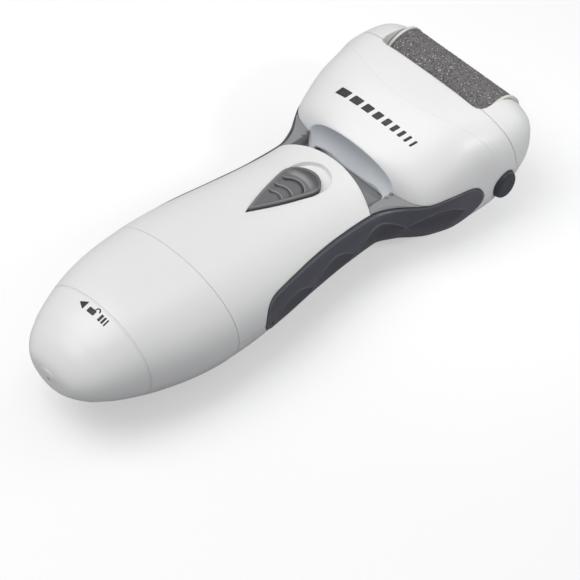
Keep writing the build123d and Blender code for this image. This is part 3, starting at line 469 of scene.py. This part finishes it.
def head_step(s, color, rough, normal):
    """A faint crescent step line on top of the head, and a painted bluish shade tint on the
    scooped face.
    """
    x, y, z = s.xyz()
    y_mm = s.math("MULTIPLY", y, 1000.0)
    x_mm = s.math("MULTIPLY", x, 1000.0)
    arc = s.math("MULTIPLY_ADD", s.math("MULTIPLY", y_mm, y_mm),
                 STEP_BOW / STEP_BOW_Y**2, STEP_X + SHIFT[0])
    past = s.math("SUBTRACT", x_mm, arc)
    line = s.math("ABSOLUTE", s.math("DIVIDE", past, STEP_HALF))
    line = s.ramp(s.math("SUBTRACT", 1.0, line))
    top = s.ramp(z, span=(0.030, 0.034))
    line = s.math("MULTIPLY", line, top)
    color = s.mix(s.math("MULTIPLY", line, 0.22), color, srgb(170, 170, 172))
    ex = s.math("DIVIDE", s.math("SUBTRACT", x_mm, SCOOP_CENTRE[0] + SHIFT[0]), SCOOP_SIZE[0])
    ey = s.math("DIVIDE", y_mm, SCOOP_SIZE[1])
    z_mm = s.math("MULTIPLY", z, 1000.0)
    ez = s.math("DIVIDE", s.math("SUBTRACT", z_mm, SCOOP_CENTRE[2] + SHIFT[2]), SCOOP_SIZE[2])
    reach = s.math("ADD", s.math("MULTIPLY", ex, ex),
                   s.math("MULTIPLY_ADD", ey, ey, s.math("MULTIPLY", ez, ez)))
    # painted shade: bluish tint over the scooped face
    scoop_shade_tint = s.ramp(reach, span=(1.18, 0.97), to=(0.0, 0.75), smooth=True)
    color = s.mix(scoop_shade_tint, color, srgb(228, 234, 241))
    step = s.math("MULTIPLY", s.ramp(past, span=(-0.3, 0.3), smooth=True), top)
    return color, rough, s.bump(step, distance=3.5e-5, normal=normal)


def relief_light_and_shade(dark, light):
    """Painted highlight on the high spots and painted shade in the low ones, from the mesh's
    relief values.
    """

    def extra(s, color, rough, normal):
        height = s.add("ShaderNodeAttribute", attribute_name="relief").outputs["Fac"]
        uneven = s.ramp(s.noise(scale=240, detail=4), span=(0.3, 0.7), to=(0.75, 1.0))
        sunk = s.math("MULTIPLY", s.ramp(height, span=(0.0, -1.0)), uneven)
        raised = s.math("MULTIPLY", s.ramp(height), uneven)
        # painted shade on sunk spots, painted highlight on raised ones
        color = s.mix(raised, s.mix(sunk, color, dark), light)
        return color, s.math("ADD", rough, s.math("MULTIPLY", raised, -0.08)), normal

    return extra


def cell_sleeve(s, color, rough, normal):
    """Printed sleeve with a plain lighter band and bare metal ends (spans in layout mm)."""
    x = s.xyz()[0]
    x_mm = s.math("SUBTRACT", s.math("MULTIPLY", x, 1000.0), SHIFT[0])
    color = s.mix(s.ramp(x_mm, span=(52.0, 52.4)), color, srgb(190, 150, 60))
    end = s.math("MAXIMUM", s.ramp(x_mm, span=(66.6, 66.7)), s.ramp(x_mm, span=(19.7, 19.6)))
    color = s.mix(end, color, srgb(190, 190, 192))
    return color, s.mix(end, rough, (0.25, 0.25, 0.25)), normal


BOARD_GREEN = srgb(26, 96, 58)


def board_tracks(s, color, rough, normal):
    """Solder-mask tracks and pads."""
    track = s.ramp(s.cells(scale=260, feature="DISTANCE_TO_EDGE"), span=(0.02, 0.05))
    color = s.mix(track, scaled(BOARD_GREEN, 1.9), color)
    return color, rough, s.bump(track, distance=1.5e-5, normal=normal)


def grit():
    s = Shader("abrasive")
    grains = s.add("ShaderNodeSeparateColor", {0: s.cells(scale=3000, out="Color")}).outputs
    spark = s.ramp(grains[1], span=(0.955, 0.975))
    pit = s.ramp(grains[2], span=(0.10, 0.04))
    color = s.mix(s.ramp(grains[0]), srgb(80, 77, 78), srgb(134, 131, 132))
    patch = s.ramp(s.noise(scale=60, detail=4), span=(0.35, 0.7), to=(0.0, 0.25))
    color = s.mix(patch, color, srgb(112, 105, 102))
    color = s.mix(s.math("MULTIPLY", spark, 0.85), color, srgb(205, 204, 206))
    color = s.mix(s.math("MULTIPLY", pit, 0.6), color, srgb(48, 44, 44))
    # painted shade: grit darkened in its crevices by ambient occlusion
    crevice_shade_mask = s.ramp(s.shade(distance=0.0006), span=(0.2, 0.8), to=(0.5, 0.0))
    color = s.mix(crevice_shade_mask, color, srgb(52, 48, 47))
    rough = s.mix(spark, (0.78, 0.78, 0.78), (0.25, 0.25, 0.25))
    height = s.math("ADD", s.cells(scale=3000), s.noise(scale=5200))
    return s.finish(color, rough, s.bump(height, distance=6e-5), specular=0.4)


def ink():
    s = Shader("printed_mark")
    worn = s.ramp(s.noise(scale=1400, detail=4), span=(0.60, 0.72), to=(0.0, 0.35))
    drift = s.ramp(s.noise(scale=90), span=(0.3, 0.7))
    color = s.mix(drift, srgb(30, 30, 34), srgb(44, 44, 49))
    color = s.mix(worn, color, srgb(120, 120, 122))
    rough = s.ramp(s.noise(scale=500), span=(0.3, 0.7), to=(0.38, 0.52))
    return s.finish(color, rough, s.bump(s.noise(scale=2400, detail=2), distance=4e-6))


# ---- materials, in slot order ------------------------------------------------------------
# edges lightened partly as worn edges and partly as painted highlight; seams get painted shade
SHELL = dict(
    rgb=srgb(237, 237, 236), rough=0.36, vary=0.012, speck=0.02, peel=5e-6, peel_scale=700,
    edge_wear_and_highlight=0.5, edge_wear_and_highlight_rgb=(0.93, 0.93, 0.93), crevice_shade=0.16, coat=0.12)
PLASTICS = {
    "shell_white": SHELL,
    "shell_head": dict(SHELL, radius=0.0008, extra=head_step),
    "chassis_grey": dict(
        rgb=srgb(146, 146, 148), rough=0.42, vary=0.03, speck=0.05, edge_wear_and_highlight=0.35, crevice_shade=0.5,
        peel=7e-6, peel_scale=1500),
    # relief values paint shade in the dimples and outline, highlight on the beads and edge
    # band; edges lightened partly as worn edges, partly as painted highlight
    "rubber_charcoal": dict(
        rgb=srgb(67, 67, 78), rough=0.37, vary=0.05, speck=0.10, edge_wear_and_highlight=0.8,
        edge_wear_and_highlight_rgb=srgb(150, 150, 160), crevice_shade=0.7, peel=6e-6, peel_scale=2600, sheen=0.05,
        specular=0.75, edge_at=(0.003, 0.03),
        extra=relief_light_and_shade(dark=srgb(30, 31, 40), light=srgb(104, 104, 116))),
    "button_charcoal": dict(
        rgb=srgb(50, 52, 61), rough=0.38, vary=0.04, speck=0.08, edge_wear_and_highlight=0.3, crevice_shade=0.5,
        peel=7e-6, peel_scale=2200, radius=0.0005),
    # relief values paint shadow in the scallop grooves and on the brow, highlight on the lips
    # and edge band
    "switch_grey": dict(
        rgb=srgb(113, 111, 113), rough=0.38, vary=0.03, speck=0.06, edge_wear_and_highlight=0.6,
        edge_wear_and_highlight_rgb=srgb(190, 190, 192), crevice_shade=0.9, peel=5e-6, peel_scale=2200, radius=0.0002,
        edge_at=(0.004, 0.06),
        extra=relief_light_and_shade(dark=srgb(56, 55, 58), light=srgb(158, 157, 158))),
    "inner_white": dict(rgb=srgb(222, 221, 214), rough=0.5, vary=0.03, edge_wear_and_highlight=0.2, crevice_shade=0.5),
    "inner_black": dict(
        rgb=srgb(44, 44, 47), rough=0.48, vary=0.06, speck=0.1, edge_wear_and_highlight=0.4,
        edge_wear_and_highlight_rgb=srgb(96, 96, 98), crevice_shade=0.4),
    "gear_nylon": dict(
        rgb=srgb(224, 218, 200), rough=0.42, vary=0.03, edge_wear_and_highlight=0.3,
        edge_wear_and_highlight_rgb=srgb(240, 236, 225), crevice_shade=0.6, peel=4e-6, peel_scale=2600),
    # also colours the dark strip painted as shadow in the gap round the thumb slide
    "seal_rubber": dict(
        rgb=srgb(38, 38, 39), rough=0.55, vary=0.08, speck=0.1, edge_wear_and_highlight=0.2, crevice_shade=0.3),
}
METALS = {
    "steel": dict(rgb=srgb(196, 197, 200), rough=0.28),
    "spring_steel": dict(rgb=srgb(205, 206, 210), rough=0.22, stretch=(1, 1, 1)),
    "nickel": dict(rgb=srgb(214, 208, 198), rough=0.2, stretch=(1, 1, 6)),
    "brass": dict(rgb=srgb(206, 172, 104), rough=0.26),
}
WIRING = {
    "wire_red": dict(rgb=srgb(190, 30, 26), rough=0.4, vary=0.05, edge_wear_and_highlight=0.1, crevice_shade=0.2),
    "wire_black": dict(rgb=srgb(30, 30, 32), rough=0.4, vary=0.08, edge_wear_and_highlight=0.1, crevice_shade=0.2),
    "cell_wrap": dict(
        rgb=srgb(44, 82, 122), rough=0.3, vary=0.05, speck=0.05, edge_wear_and_highlight=0.2, crevice_shade=0.3,
        coat=0.3, extra=cell_sleeve),
    "pcb_green": dict(
        rgb=BOARD_GREEN, rough=0.35, vary=0.05, edge_wear_and_highlight=0.2, crevice_shade=0.4, extra=board_tracks),
}
materials = {}
for make, looks in ((plastic, PLASTICS), (metal, METALS), (plastic, WIRING)):
    for name, look in looks.items():
        materials[name] = make(name, **look)
materials["abrasive"] = grit()
materials["ink"] = ink()

slot_of = {part["node"]: part["material_slot"] for part in frame["record"]["subparts"]}
for name, obj in frame["nodes"].items():
    material = materials["shell_head" if name == "head_shell" else slot_of[name]]
    if obj.material_slots:
        for slot in obj.material_slots:
            slot.material = material
    else:
        obj.data.materials.append(material)

# ---- rubber side grips with pressed finger dimples, drawn in x and z ---------------------
# Outline of the grip: x, z
GRIP_LINE = [
    (60.7, -1.4), (61.3, 2.1), (62.6, 4.3), (64.6, 5.6), (68.9, 6.2), (77, 6.1), (85.7, 5.8),
    (95, 5.2), (105, 4.4), (116, 3.5), (123, 2.9), (128, 2.9), (133, 3.3), (138, 3.4),
    (142, 2.8), (145, 1.3), (147, -1.2), (147.8, -3.6), (147.5, -5.8), (146, -8.4),
    (143, -10.7), (139, -12.0), (132, -12.5), (122, -12.3), (110, -12.0), (95, -11.8),
    (80, -11.2), (70, -9.8), (66, -8.3), (62.8, -5.5), (61.1, -3.2),
]
GRIP_GAP = 0.10  # between the outline and the rubber
GRIP_PROUD, GRIP_SUNK = 0.25, 1.2  # outer face above and inner face below the body surface
GRIP_EDGE = 0.65  # edge radius
# Lens-shaped dimples: centre x, centre z, half length, tilt
DIMPLES = [
    (73.8, -2.2, 8.4, -0.06), (92.3, -2.7, 8.5, -0.06),
    (112.0, -3.6, 8.5, -0.06), (130.7, -4.7, 9.0, -0.02),
]
DIMPLE_PAD = 0.7  # the lens runs this far past its half length
DIMPLE_RISE = 4.3  # half height of the lens
DIMPLE_DEPTH = 1.12
BEAD_HEIGHT = 0.20  # raised bead along each dimple's upper edge
HOLE_X, HOLE_Z = 63.6, -2.4  # small round hole near the low-x end
HOLE_R, HOLE_DEPTH = 0.545, 1.0
HOLE_RIM_R, HOLE_RIM_HEIGHT = 0.80, 0.10


def dimple_rise(x, centre_x, half):
    u = np.clip(np.abs(x - centre_x) / (half + DIMPLE_PAD), 0, 1)
    return DIMPLE_RISE * (1 - u**1.9)


def grip_guides():
    """Extra mesh points round the hole and along the dimple edges."""
    turn = np.linspace(0, 2 * math.pi, 28, endpoint=False)
    guides = [[(HOLE_X + r * math.cos(t), HOLE_Z + r * math.sin(t)) for t in turn]
              for r in (0.30, 0.52, 0.58, 0.72, 0.9, 1.08)]
    for centre_x, centre_z, half, tilt in DIMPLES:
        x = np.arange(centre_x - half - 0.6, centre_x + half + 0.6, 0.30)
        mid = centre_z + tilt * (x - centre_x)
        rise = dimple_rise(x, centre_x, half)
        for offset in (-0.62, -0.40, -0.22, -0.08, 0.0, 0.10, 0.22, 0.36, 0.54):
            reach = rise + offset
            for side in (1, -1):
                guides.append(np.stack([x, mid + side * reach], 1)[reach > 0.02])
    return guides


def dimple_shape(x, z):
    """Depth of the dimples and height of their beads at each point."""
    depth, bead = np.zeros(len(x)), np.zeros(len(x))
    for centre_x, centre_z, half, tilt in DIMPLES:
        rise = dimple_rise(x, centre_x, half)
        across = (z - (centre_z + tilt * (x - centre_x))) / np.maximum(rise, 1e-6)
        bowl = DIMPLE_DEPTH * (1 - across**2) * (1 + 0.4 * across)
        bowl = bowl * np.clip(rise / DIMPLE_RISE, 0, 1) ** 0.6
        depth = np.where(np.abs(across) < 1, np.maximum(depth, bowl), depth)
        ridge = BEAD_HEIGHT * bell((across - 1) * rise, centre=0.06, width=0.26)
        ridge = ridge * np.clip(rise / 1.5, 0, 1) * (across > 0.8)
        bead = np.maximum(bead, ridge)
    return depth, bead


def build_grips():
    outline = inset(anticlockwise(closed_curve(GRIP_LINE, 460)), GRIP_GAP)
    rings = (0.04, 0.10, 0.18, 0.28, 0.40, 0.52, 0.65, 0.82)
    plan, tris, rim, outline = plate_mesh(outline, 0.42, rings, grip_guides())
    dist, _ = distance(plan, outline)
    x, z = plan[:, 0], plan[:, 1]
    depth, bead = dimple_shape(x, z)
    y = side_y(x, z, -GRIP_PROUD) - edge_drop(dist, GRIP_EDGE) - (depth - bead)
    from_hole = np.hypot(x - HOLE_X, z - HOLE_Z)
    y = y - HOLE_DEPTH * (from_hole < HOLE_R)
    y = y + HOLE_RIM_HEIGHT * bell(from_hole, HOLE_RIM_R, width=0.14)
    outer = to_row(np.stack([x, y, z], 1))
    inner = to_row(np.stack([x, side_y(x, z, GRIP_SUNK), z], 1))
    verts, faces = closed_plate(outer, inner, tris, rim)

    # painted shade in the dimples and along the outline gap, painted highlight on the beads and
    # on a band just inside the edge
    relief = -0.62 * np.clip(depth / 0.9, 0, 1) + 0.75 * np.clip(bead / BEAD_HEIGHT, 0, 1)
    relief += 0.55 * bell(dist, centre=0.42, width=0.14) - np.clip(1 - dist / 0.22, 0, 1)
    # the hidden inner face is painted fully shaded
    relief = np.concatenate([relief, np.full(len(plan), -1.0)])
    for side, node in ((1, "grip_left"), (-1, "grip_right")):
        grip = mesh_object("rubber_" + node, verts * (1, side, 1), faces, sharp_deg=38)
        store_relief(grip, relief)
        attach(grip, "frame", "rubber_charcoal", replaced=node)


build_grips()

# ---- thumb slide: drop-shaped button, stem and a dark strip painted as gap shadow --------
# Drawn in a plane tangent to the body's top: s runs along it towards the head, then y
SLIDE_X = 92.0
SLIDE_Z = float(body_section(SLIDE_X)[1])
SLIDE_SLOPE = -0.1195
slope_length = math.hypot(1, SLIDE_SLOPE)
SLIDE_ORIGIN = np.array([SLIDE_X, 0, SLIDE_Z])
SLIDE_DIR = np.array([1 / slope_length, 0, SLIDE_SLOPE / slope_length])
SLIDE_UP = np.array([-SLIDE_SLOPE / slope_length, 0, 1 / slope_length])
TIP_S = -14.2  # the drop's point
TIP_R, TIP_HALF_ANGLE = 0.45, 21.5  # its rounding, and half the angle there, degrees
DISC_S, DISC_R = 8.1, 6.75  # the drop's round end
BUTTON_PROUD, BUTTON_SUNK = 0.9, 1.05  # top above and underside below the body surface
BUTTON_EDGE = 0.5  # edge radius
# Scalloped ridges in the dish: s of the ridge, radius, half chord, groove depth, groove width
SCALLOPS = [
    (-0.9, 3.1, 2.6, 0.42, 1.4),
    (2.9, 4.6, 3.7, 0.50, 1.8),
    (8.1, 4.9, 4.4, 0.78, 2.2),
]
STEM_S, STEM_SIDES = 2.0, 24
STEM_HALF_LENGTH, STEM_HALF_WIDTH = 2.05, 1.45
STEM_TOP, STEM_BOTTOM = -1.0, -5.0
# the dark strip painted as shadow in the gap: its gap from the button, its thickness
SHADOW_STRIP_GAP, SHADOW_STRIP_THICK = 0.22, 0.21
SHADOW_STRIP_OPEN_S = DISC_S + 1.6  # the painted shadow strip stops here, open towards the head


def drop_loop(grow):
    """The drop outline, grown outward."""
    r = DISC_R + grow
    tip = TIP_S - 1.8 * grow
    start = math.pi - math.acos(r / (DISC_S - tip))  # where the flank meets the disc
    flank_s, flank_y = DISC_S + r * math.cos(start), r * math.sin(start)
    half = [(tip + f * (flank_s - tip), f * flank_y + 0.5 * math.sin(math.pi * f))
            for f in np.linspace(0, 1, 40, endpoint=False)]
    half += [(DISC_S + r * math.cos(t), r * math.sin(t))
             for t in np.linspace(start, 0, 60)[:-1]]
    hub = tip + TIP_R / math.sin(math.radians(TIP_HALF_ANGLE))
    touch = math.radians(90 - TIP_HALF_ANGLE)
    half = [point for point in half if point[0] > hub - TIP_R * math.cos(touch) + 0.05]
    arc = [(hub - TIP_R * math.cos(t), TIP_R * math.sin(t))
           for t in np.linspace(-touch, touch, 11)]
    other_half = [(s, -y) for s, y in reversed(half)]
    return resample(np.array(arc + half + [(DISC_S + r, 0.0)] + other_half), 420)


def slide_points(plan, heights):
    points = SLIDE_ORIGIN + plan[:, :1] * SLIDE_DIR + heights[:, None] * SLIDE_UP
    points[:, 1] = plan[:, 1]
    return to_row(points)


def slide_height(plan, inward):
    """Height of the body surface, drawn inward, above the slide plane."""
    s, y = plan[:, 0], plan[:, 1]
    surface = top_z(SLIDE_X + s * SLIDE_DIR[0], y, inward)
    return (surface - (SLIDE_Z + s * SLIDE_DIR[2])) / SLIDE_UP[2]


def button_surface(plan, dist):
    """Height above the slide plane, and the relief value, at each point."""
    s, y = plan[:, 0], plan[:, 1]
    bowed = s + 0.05 * y * y
    h = slide_height(plan, -BUTTON_PROUD) - edge_drop(dist, BUTTON_EDGE)
    # dish inside the rim, ending in a lip towards the head
    h = h - 1.05 * smoothstep(0.85, 2.5, dist) * (1 - smoothstep(9.4, 11.4, bowed))
    # brow falling away to the round end
    h = h - 1.15 * smoothstep(10.6, 15.2, bowed) * smoothstep(0.0, 0.8, dist + 0.25)
    # painted shade on the brow and along the outline, painted highlight on the lip and on a
    # band just inside the edge
    relief = -0.75 * smoothstep(10.4, 12.2, bowed) * smoothstep(0.25, 0.7, dist)
    relief += 0.55 * bell(bowed, centre=9.9, width=0.55) * smoothstep(0.9, 2.0, dist)
    relief += 0.45 * bell(dist, centre=0.62, width=0.22) - 0.9 * np.clip(1 - dist / 0.28, 0, 1)
    for ridge_s, radius, chord, cut, width in SCALLOPS:
        from_centre = s - (ridge_s - radius)
        q = np.hypot(from_centre, y) - radius
        limit = math.asin(chord / radius)
        angle = np.abs(np.arctan2(y, from_centre))
        fade = 1 - smoothstep(0.80 * limit, 1.15 * limit, angle)
        slope = np.clip(1 + q / width, 0, 1) ** 1.6
        groove = np.where(q < 0, slope, 1 - smoothstep(0.0, 0.18, q))
        lip = bell(q, centre=0.34, width=0.22)
        # painted shadow in each groove, strongest at the ridge
        groove_shadow = np.where(q < 0.1, np.clip(1 + (q - 0.1) / 0.9, 0, 1), 0)
        h = h + (0.20 * lip - cut * groove) * fade
        # painted highlight on the lip, painted shadow in the groove
        relief += fade * (0.95 * lip - 0.85 * groove_shadow)
    return h, relief


def build_button():
    rings = (0.05, 0.12, 0.2, 0.3, 0.42, 0.55)
    plan, tris, rim, outline = plate_mesh(drop_loop(-0.05), 0.13, rings)
    dist, _ = distance(plan, outline)
    height, relief = button_surface(plan, dist)
    top = slide_points(plan, height)
    bottom = slide_points(plan, slide_height(plan, BUTTON_SUNK))
    button = mesh_object("thumb_slide", *closed_plate(top, bottom, tris, rim), sharp_deg=50)
    # the underside is painted shaded
    store_relief(button, np.concatenate([relief, np.full(len(plan), -0.6)]))
    attach(button, "switch_body", "switch_grey", replaced="slide_switch_button")


def build_stem():
    """Rounded rectangular post under the button."""
    n = STEM_SIDES
    outline = []
    for k in range(n):
        t = 2 * math.pi * k / n
        along, across = (math.copysign(abs(v) ** 0.35, v) for v in (math.cos(t), math.sin(t)))
        outline.append((STEM_S + along * STEM_HALF_LENGTH, across * STEM_HALF_WIDTH))
    outline = np.array(outline)
    verts = np.vstack([slide_points(outline, np.full(n, h)) for h in (STEM_TOP, STEM_BOTTOM)])
    faces = [(k, (k + 1) % n, (k + 1) % n + n, k + n) for k in range(n)]
    faces += [tuple(range(n - 1, -1, -1)), tuple(range(n, 2 * n))]
    stem = mesh_object("thumb_slide_stem", verts, faces, sharp_deg=30)
    attach(stem, "switch_body", "switch_grey")


def build_gap_shadow_strip():
    """A dark four-sided strip in the slot round the button, painted as the gap's shadow."""
    ring = drop_loop(SHADOW_STRIP_GAP)
    past = np.nonzero(ring[:, 0] > SHADOW_STRIP_OPEN_S)[0]
    ring = np.roll(ring, -(past.max() + 1), axis=0)[: len(ring) - len(past)]
    along = np.gradient(ring, axis=0)
    along /= np.linalg.norm(along, axis=1)[:, None]
    inward = np.stack([-along[:, 1], along[:, 0]], 1)
    middle = np.array([4.0, 0.0])
    inward *= np.sign(((middle - ring) * inward).sum(1))[:, None]
    inner = ring + SHADOW_STRIP_THICK * inward
    # the strip's corners: line, depth under the body surface
    corners = ((ring, 0.10), (ring, 1.28), (inner, 1.28), (inner, 0.22))
    verts = np.stack([slide_points(p, slide_height(p, d)) for p, d in corners], 1)
    last = 4 * (len(ring) - 1)
    faces = [(k + j, k + (j + 1) % 4, k + 4 + (j + 1) % 4, k + 4 + j)
             for k in range(0, last, 4) for j in range(4)]
    faces += [(0, 1, 2, 3), (last + 3, last + 2, last + 1, last)]
    gap_shadow_strip = mesh_object("slide_seal", verts.reshape(-1, 3), faces, sharp_deg=40)
    attach(gap_shadow_strip, "frame", "seal_rubber")


build_button()
build_stem()
build_gap_shadow_strip()

# ---- abrasive sleeve: bonded grit --------------------------------------------------------
ROLLER_X, ROLLER_Z, ROLLER_R, ROLLER_HALF = 165.2, 7.8, 9.3, 20.2
SLEEVE_THICK = 1.0
GRAINS_ROUND, GRAINS_ALONG = 250, 172


def build_sleeve():
    rng = np.random.default_rng(7)
    size = (GRAINS_ALONG + 1, GRAINS_ROUND)
    fine = rng.random(size)
    soft = (fine + np.roll(fine, 1, 1) + np.roll(fine, -1, 1)) / 3
    soft[1:-1] = (soft[1:-1] + soft[:-2] + soft[2:]) / 3
    grain = 0.088 * (fine - 0.5) + 0.30 * (soft - 0.5)
    grain += (rng.random(size) > 0.985) * 0.10  # a few proud grains
    face = ROLLER_R - 0.10 + grain
    face[[0, -1]] -= 0.25
    face[[1, -2]] -= 0.08

    # rows of the closed section: one end, grit face, other end, then back along the bore
    ends = [ROLLER_R - 0.9, ROLLER_R - 0.45]
    bore = ROLLER_R - SLEEVE_THICK
    half = ROLLER_HALF
    along = [-half + 0.12 + (2 * half - 0.24) * j / GRAINS_ALONG
             for j in range(GRAINS_ALONG + 1)]
    y = np.array([-half, -half] + along + [half, half, half, -half])
    radii = [np.full(GRAINS_ROUND, r) for r in ends]
    radii += list(face)
    radii += [np.full(GRAINS_ROUND, r) for r in ends[::-1] + [bore, bore]]
    radii = np.array(radii)
    turn = 2 * np.pi * np.arange(GRAINS_ROUND) / GRAINS_ROUND
    verts = np.stack([ROLLER_X + radii * np.cos(turn),
                      np.broadcast_to(y[:, None], radii.shape),
                      ROLLER_Z + radii * np.sin(turn)], 2).reshape(-1, 3)
    faces = []
    for j in range(len(y)):
        row, after = j * GRAINS_ROUND, (j + 1) % len(y) * GRAINS_ROUND
        for k in range(GRAINS_ROUND):
            k2 = (k + 1) % GRAINS_ROUND
            faces.append((row + k, row + k2, after + k2, after + k))
    sleeve = mesh_object("grit_sleeve", to_row(verts), faces, sharp_deg=75)
    attach(sleeve, "roller_body", "abrasive", replaced="abrasive_sleeve")


build_sleeve()

# ---- printed marks: thin films laid on top of the shells, drawn in x and y ---------------
graph = bpy.context.evaluated_depsgraph_get()
trees = {node: BVHTree.FromObject(frame["nodes"][node], graph)
         for node in ("battery_cover", "head_shell")}
FILM_ABOVE, FILM_BELOW = 0.00003, 0.00006  # m


def print_mark(name, loop, node, body, step=0.35):
    """A thin closed film that follows the shell under the loop."""
    loop = np.array(loop, float)
    perimeter = float(np.linalg.norm(np.roll(loop, -1, 0) - loop, axis=1).sum())
    count = max(24, int(2.2 * perimeter / step))
    plan, tris, rim, _ = plate_mesh(resample(loop, count), step)
    top, bottom = [], []
    for x, y in plan:
        hit, normal, _, _ = trees[node].ray_cast(place(x, y, 40), Vector((0, 0, -1)))
        top.append(hit + normal * FILM_ABOVE)
        bottom.append(hit - normal * FILM_BELOW)
    film = mesh_object(name, *closed_plate(np.array(top), np.array(bottom), tris, rim))
    attach(film, body, "rubber_charcoal", material="ink")


def rounded(points, radius):
    """Polygon with its corners rounded."""
    p = np.array(points, float)
    out = []
    for i, corner in enumerate(p):
        before, after = p[i - 1] - corner, p[(i + 1) % len(p)] - corner
        start = corner + before / np.linalg.norm(before) * radius
        end = corner + after / np.linalg.norm(after) * radius
        for t in np.linspace(0, 1, 5):
            out.append((1 - t) ** 2 * start + 2 * t * (1 - t) * corner + t * t * end)
    return out


def rectangle(x0, x1, y_top, y_bottom, radius):
    return rounded([(x0, y_top), (x1, y_top), (x1, y_bottom), (x0, y_bottom)], radius)


def print_cover_marks():
    """Arrow, open padlock and a row of three shrinking bars."""
    x = 17.7
    where = ("battery_cover", "cover_body")
    arrow = [(x, 5.9), (x - 1.45, 3.3), (x + 1.45, 3.3)]
    print_mark("mark_arrow", rounded(arrow, 0.25), *where)
    print_mark("mark_lock_body", rectangle(x - 1.15, x + 0.55, 1.9, -0.9, 0.3), *where)
    shackle = [(x + 0.62 + 1.15 * math.sin(t), -1.0 + 0.98 * math.cos(t))
               for t in np.linspace(0.0, math.pi, 24)]
    shackle += [(x + 0.62 + 0.70 * math.sin(t), -1.0 + 0.55 * math.cos(t))
                for t in np.linspace(math.pi, 0.0, 24)]
    print_mark("mark_lock_shackle", shackle, *where, step=0.2)
    for k, (y, width) in enumerate(((-2.7, 0.9), (-4.05, 0.7), (-5.2, 0.5))):
        print_mark(f"mark_turn_{k}", rectangle(x - 1.2, x + 1.0, y, y - width, 0.2), *where)


def print_head_bars():
    """Row of slanted bars across the head, shrinking towards -Y."""
    x, y = 133.0, 16.6
    half, lean, gap = 1.2, 0.45, 1.45
    for k, width in enumerate((4.4, 3.7, 3.1, 2.6, 2.1, 1.7, 1.3, 1.0, 0.8)):
        bar = [(x + half, y - lean), (x - half, y + lean),
               (x - half, y + lean - width), (x + half, y - lean - width)]
        print_mark(f"mark_bar_{k}", rounded(bar, 0.3), "head_shell", "frame")
        y -= width + gap


print_cover_marks()
print_head_bars()


# ---- floor, light, camera (m) ------------------------------------------------------------
def build_floor():
    bm = bmesh.new()
    bmesh.ops.create_grid(bm, x_segments=24, y_segments=24, size=3.0)
    mesh = bpy.data.meshes.new("studio_floor")
    bm.to_mesh(mesh)
    bm.free()
    floor = bpy.data.objects.new("studio_floor", mesh)
    floor.location = (0, 0, -0.00004)
    bpy.context.scene.collection.objects.link(floor)

    # seen directly the floor is bright; it bounces less light than it shows
    s = Shader("studio_floor")
    drift = s.ramp(s.noise(scale=3), span=(0.3, 0.7))
    tone = s.mix(drift, (0.60, 0.60, 0.605), (0.63, 0.63, 0.63))
    seen = s.add("ShaderNodeLightPath").outputs["Is Camera Ray"]
    tone = s.mix(seen, (0.42, 0.42, 0.43), tone)
    rough = s.ramp(s.noise(scale=40), span=(0.3, 0.7), to=(0.85, 0.95))
    bump = s.bump(s.noise(scale=800, detail=2), distance=4e-6)
    floor.data.materials.append(s.finish(tone, rough, bump, specular=0.1))
    s.put(s.bsdf.inputs["Emission Color"], (1.0, 1.0, 1.0, 1.0))
    s.put(s.bsdf.inputs["Emission Strength"], s.math("MULTIPLY", seen, 0.42))


def build_world():
    world = bpy.data.worlds.new("studio")
    bpy.context.scene.world = world
    world.use_nodes = True
    background = next(n for n in world.node_tree.nodes if n.type == "BACKGROUND")
    background.inputs["Color"].default_value = (0.96, 0.975, 1.0, 1.0)
    background.inputs["Strength"].default_value = 0.34


def add_light(name, kind, target, direction, distance, **settings):
    """A light standing off the target in the direction, facing it."""
    data = bpy.data.lights.new(name, kind)
    for key, value in settings.items():
        setattr(data, key, value)
    light = bpy.data.objects.new(name, data)
    direction = Vector(direction).normalized()
    light.location = target + direction * distance
    light.rotation_euler = direction.to_track_quat("Z", "Y").to_euler()
    bpy.context.scene.collection.objects.link(light)


# Softboxes: name, direction, distance, width, height, watts, colour
SOFTBOXES = [
    ("key_softbox", (-0.34, 0.30, 0.89), 0.9, 0.7, 0.7, 4.75, (1.0, 0.995, 0.985)),
    ("top_strip", (0.35, 0.05, 0.95), 0.9, 0.25, 0.9, 1.0, (1, 1, 1)),
    ("nose_fill", (0.92, -0.30, 0.28), 0.9, 0.5, 0.5, 0.9, (0.98, 0.985, 1.0)),
    ("front_fill", (-0.55, -0.75, 0.55), 1.1, 0.8, 0.8, 0.4, (0.97, 0.98, 1.0)),
]


def build_lights():
    for name, direction, distance, width, height, watts, color in SOFTBOXES:
        add_light(name, "AREA", place(95, 0, 0), direction, distance, shape="RECTANGLE",
                  size=width, size_y=height, energy=watts, color=color)
    # narrow spot on the head's right side
    add_light("head_snoot", "SPOT", place(152, -18, 6), (0.25, -0.70, 0.67), 0.5, energy=4.0,
              spot_size=math.radians(17), spot_blend=1.0, shadow_soft_size=0.07)


def build_camera():
    back = Vector((-0.4769, -0.4635, 0.7468)).normalized()  # from the subject to the camera
    rough_up = Vector((0.507, 0.549, 0.6646))
    right = rough_up.cross(back).normalized()
    up = back.cross(right).normalized()
    distance, shift_right, shift_down = 0.9, 0.004736048, 0.019909502
    eye = place(90, 0, 0) + back * distance + right * shift_right - up * shift_down
    data = bpy.data.cameras.new("camera")
    camera = bpy.data.objects.new("camera", data)
    bpy.context.scene.collection.objects.link(camera)
    camera.matrix_world = Matrix((*zip(right, up, back, eye), (0, 0, 0, 1)))
    data.sensor_width = 36
    data.lens = 185.182759
    data.clip_start = 0.01
    bpy.context.scene.camera = camera


build_floor()
build_world()
build_lights()
build_camera()
bpy.context.scene.view_settings.view_transform = "Standard"
bpy.context.scene.view_settings.look = "None"
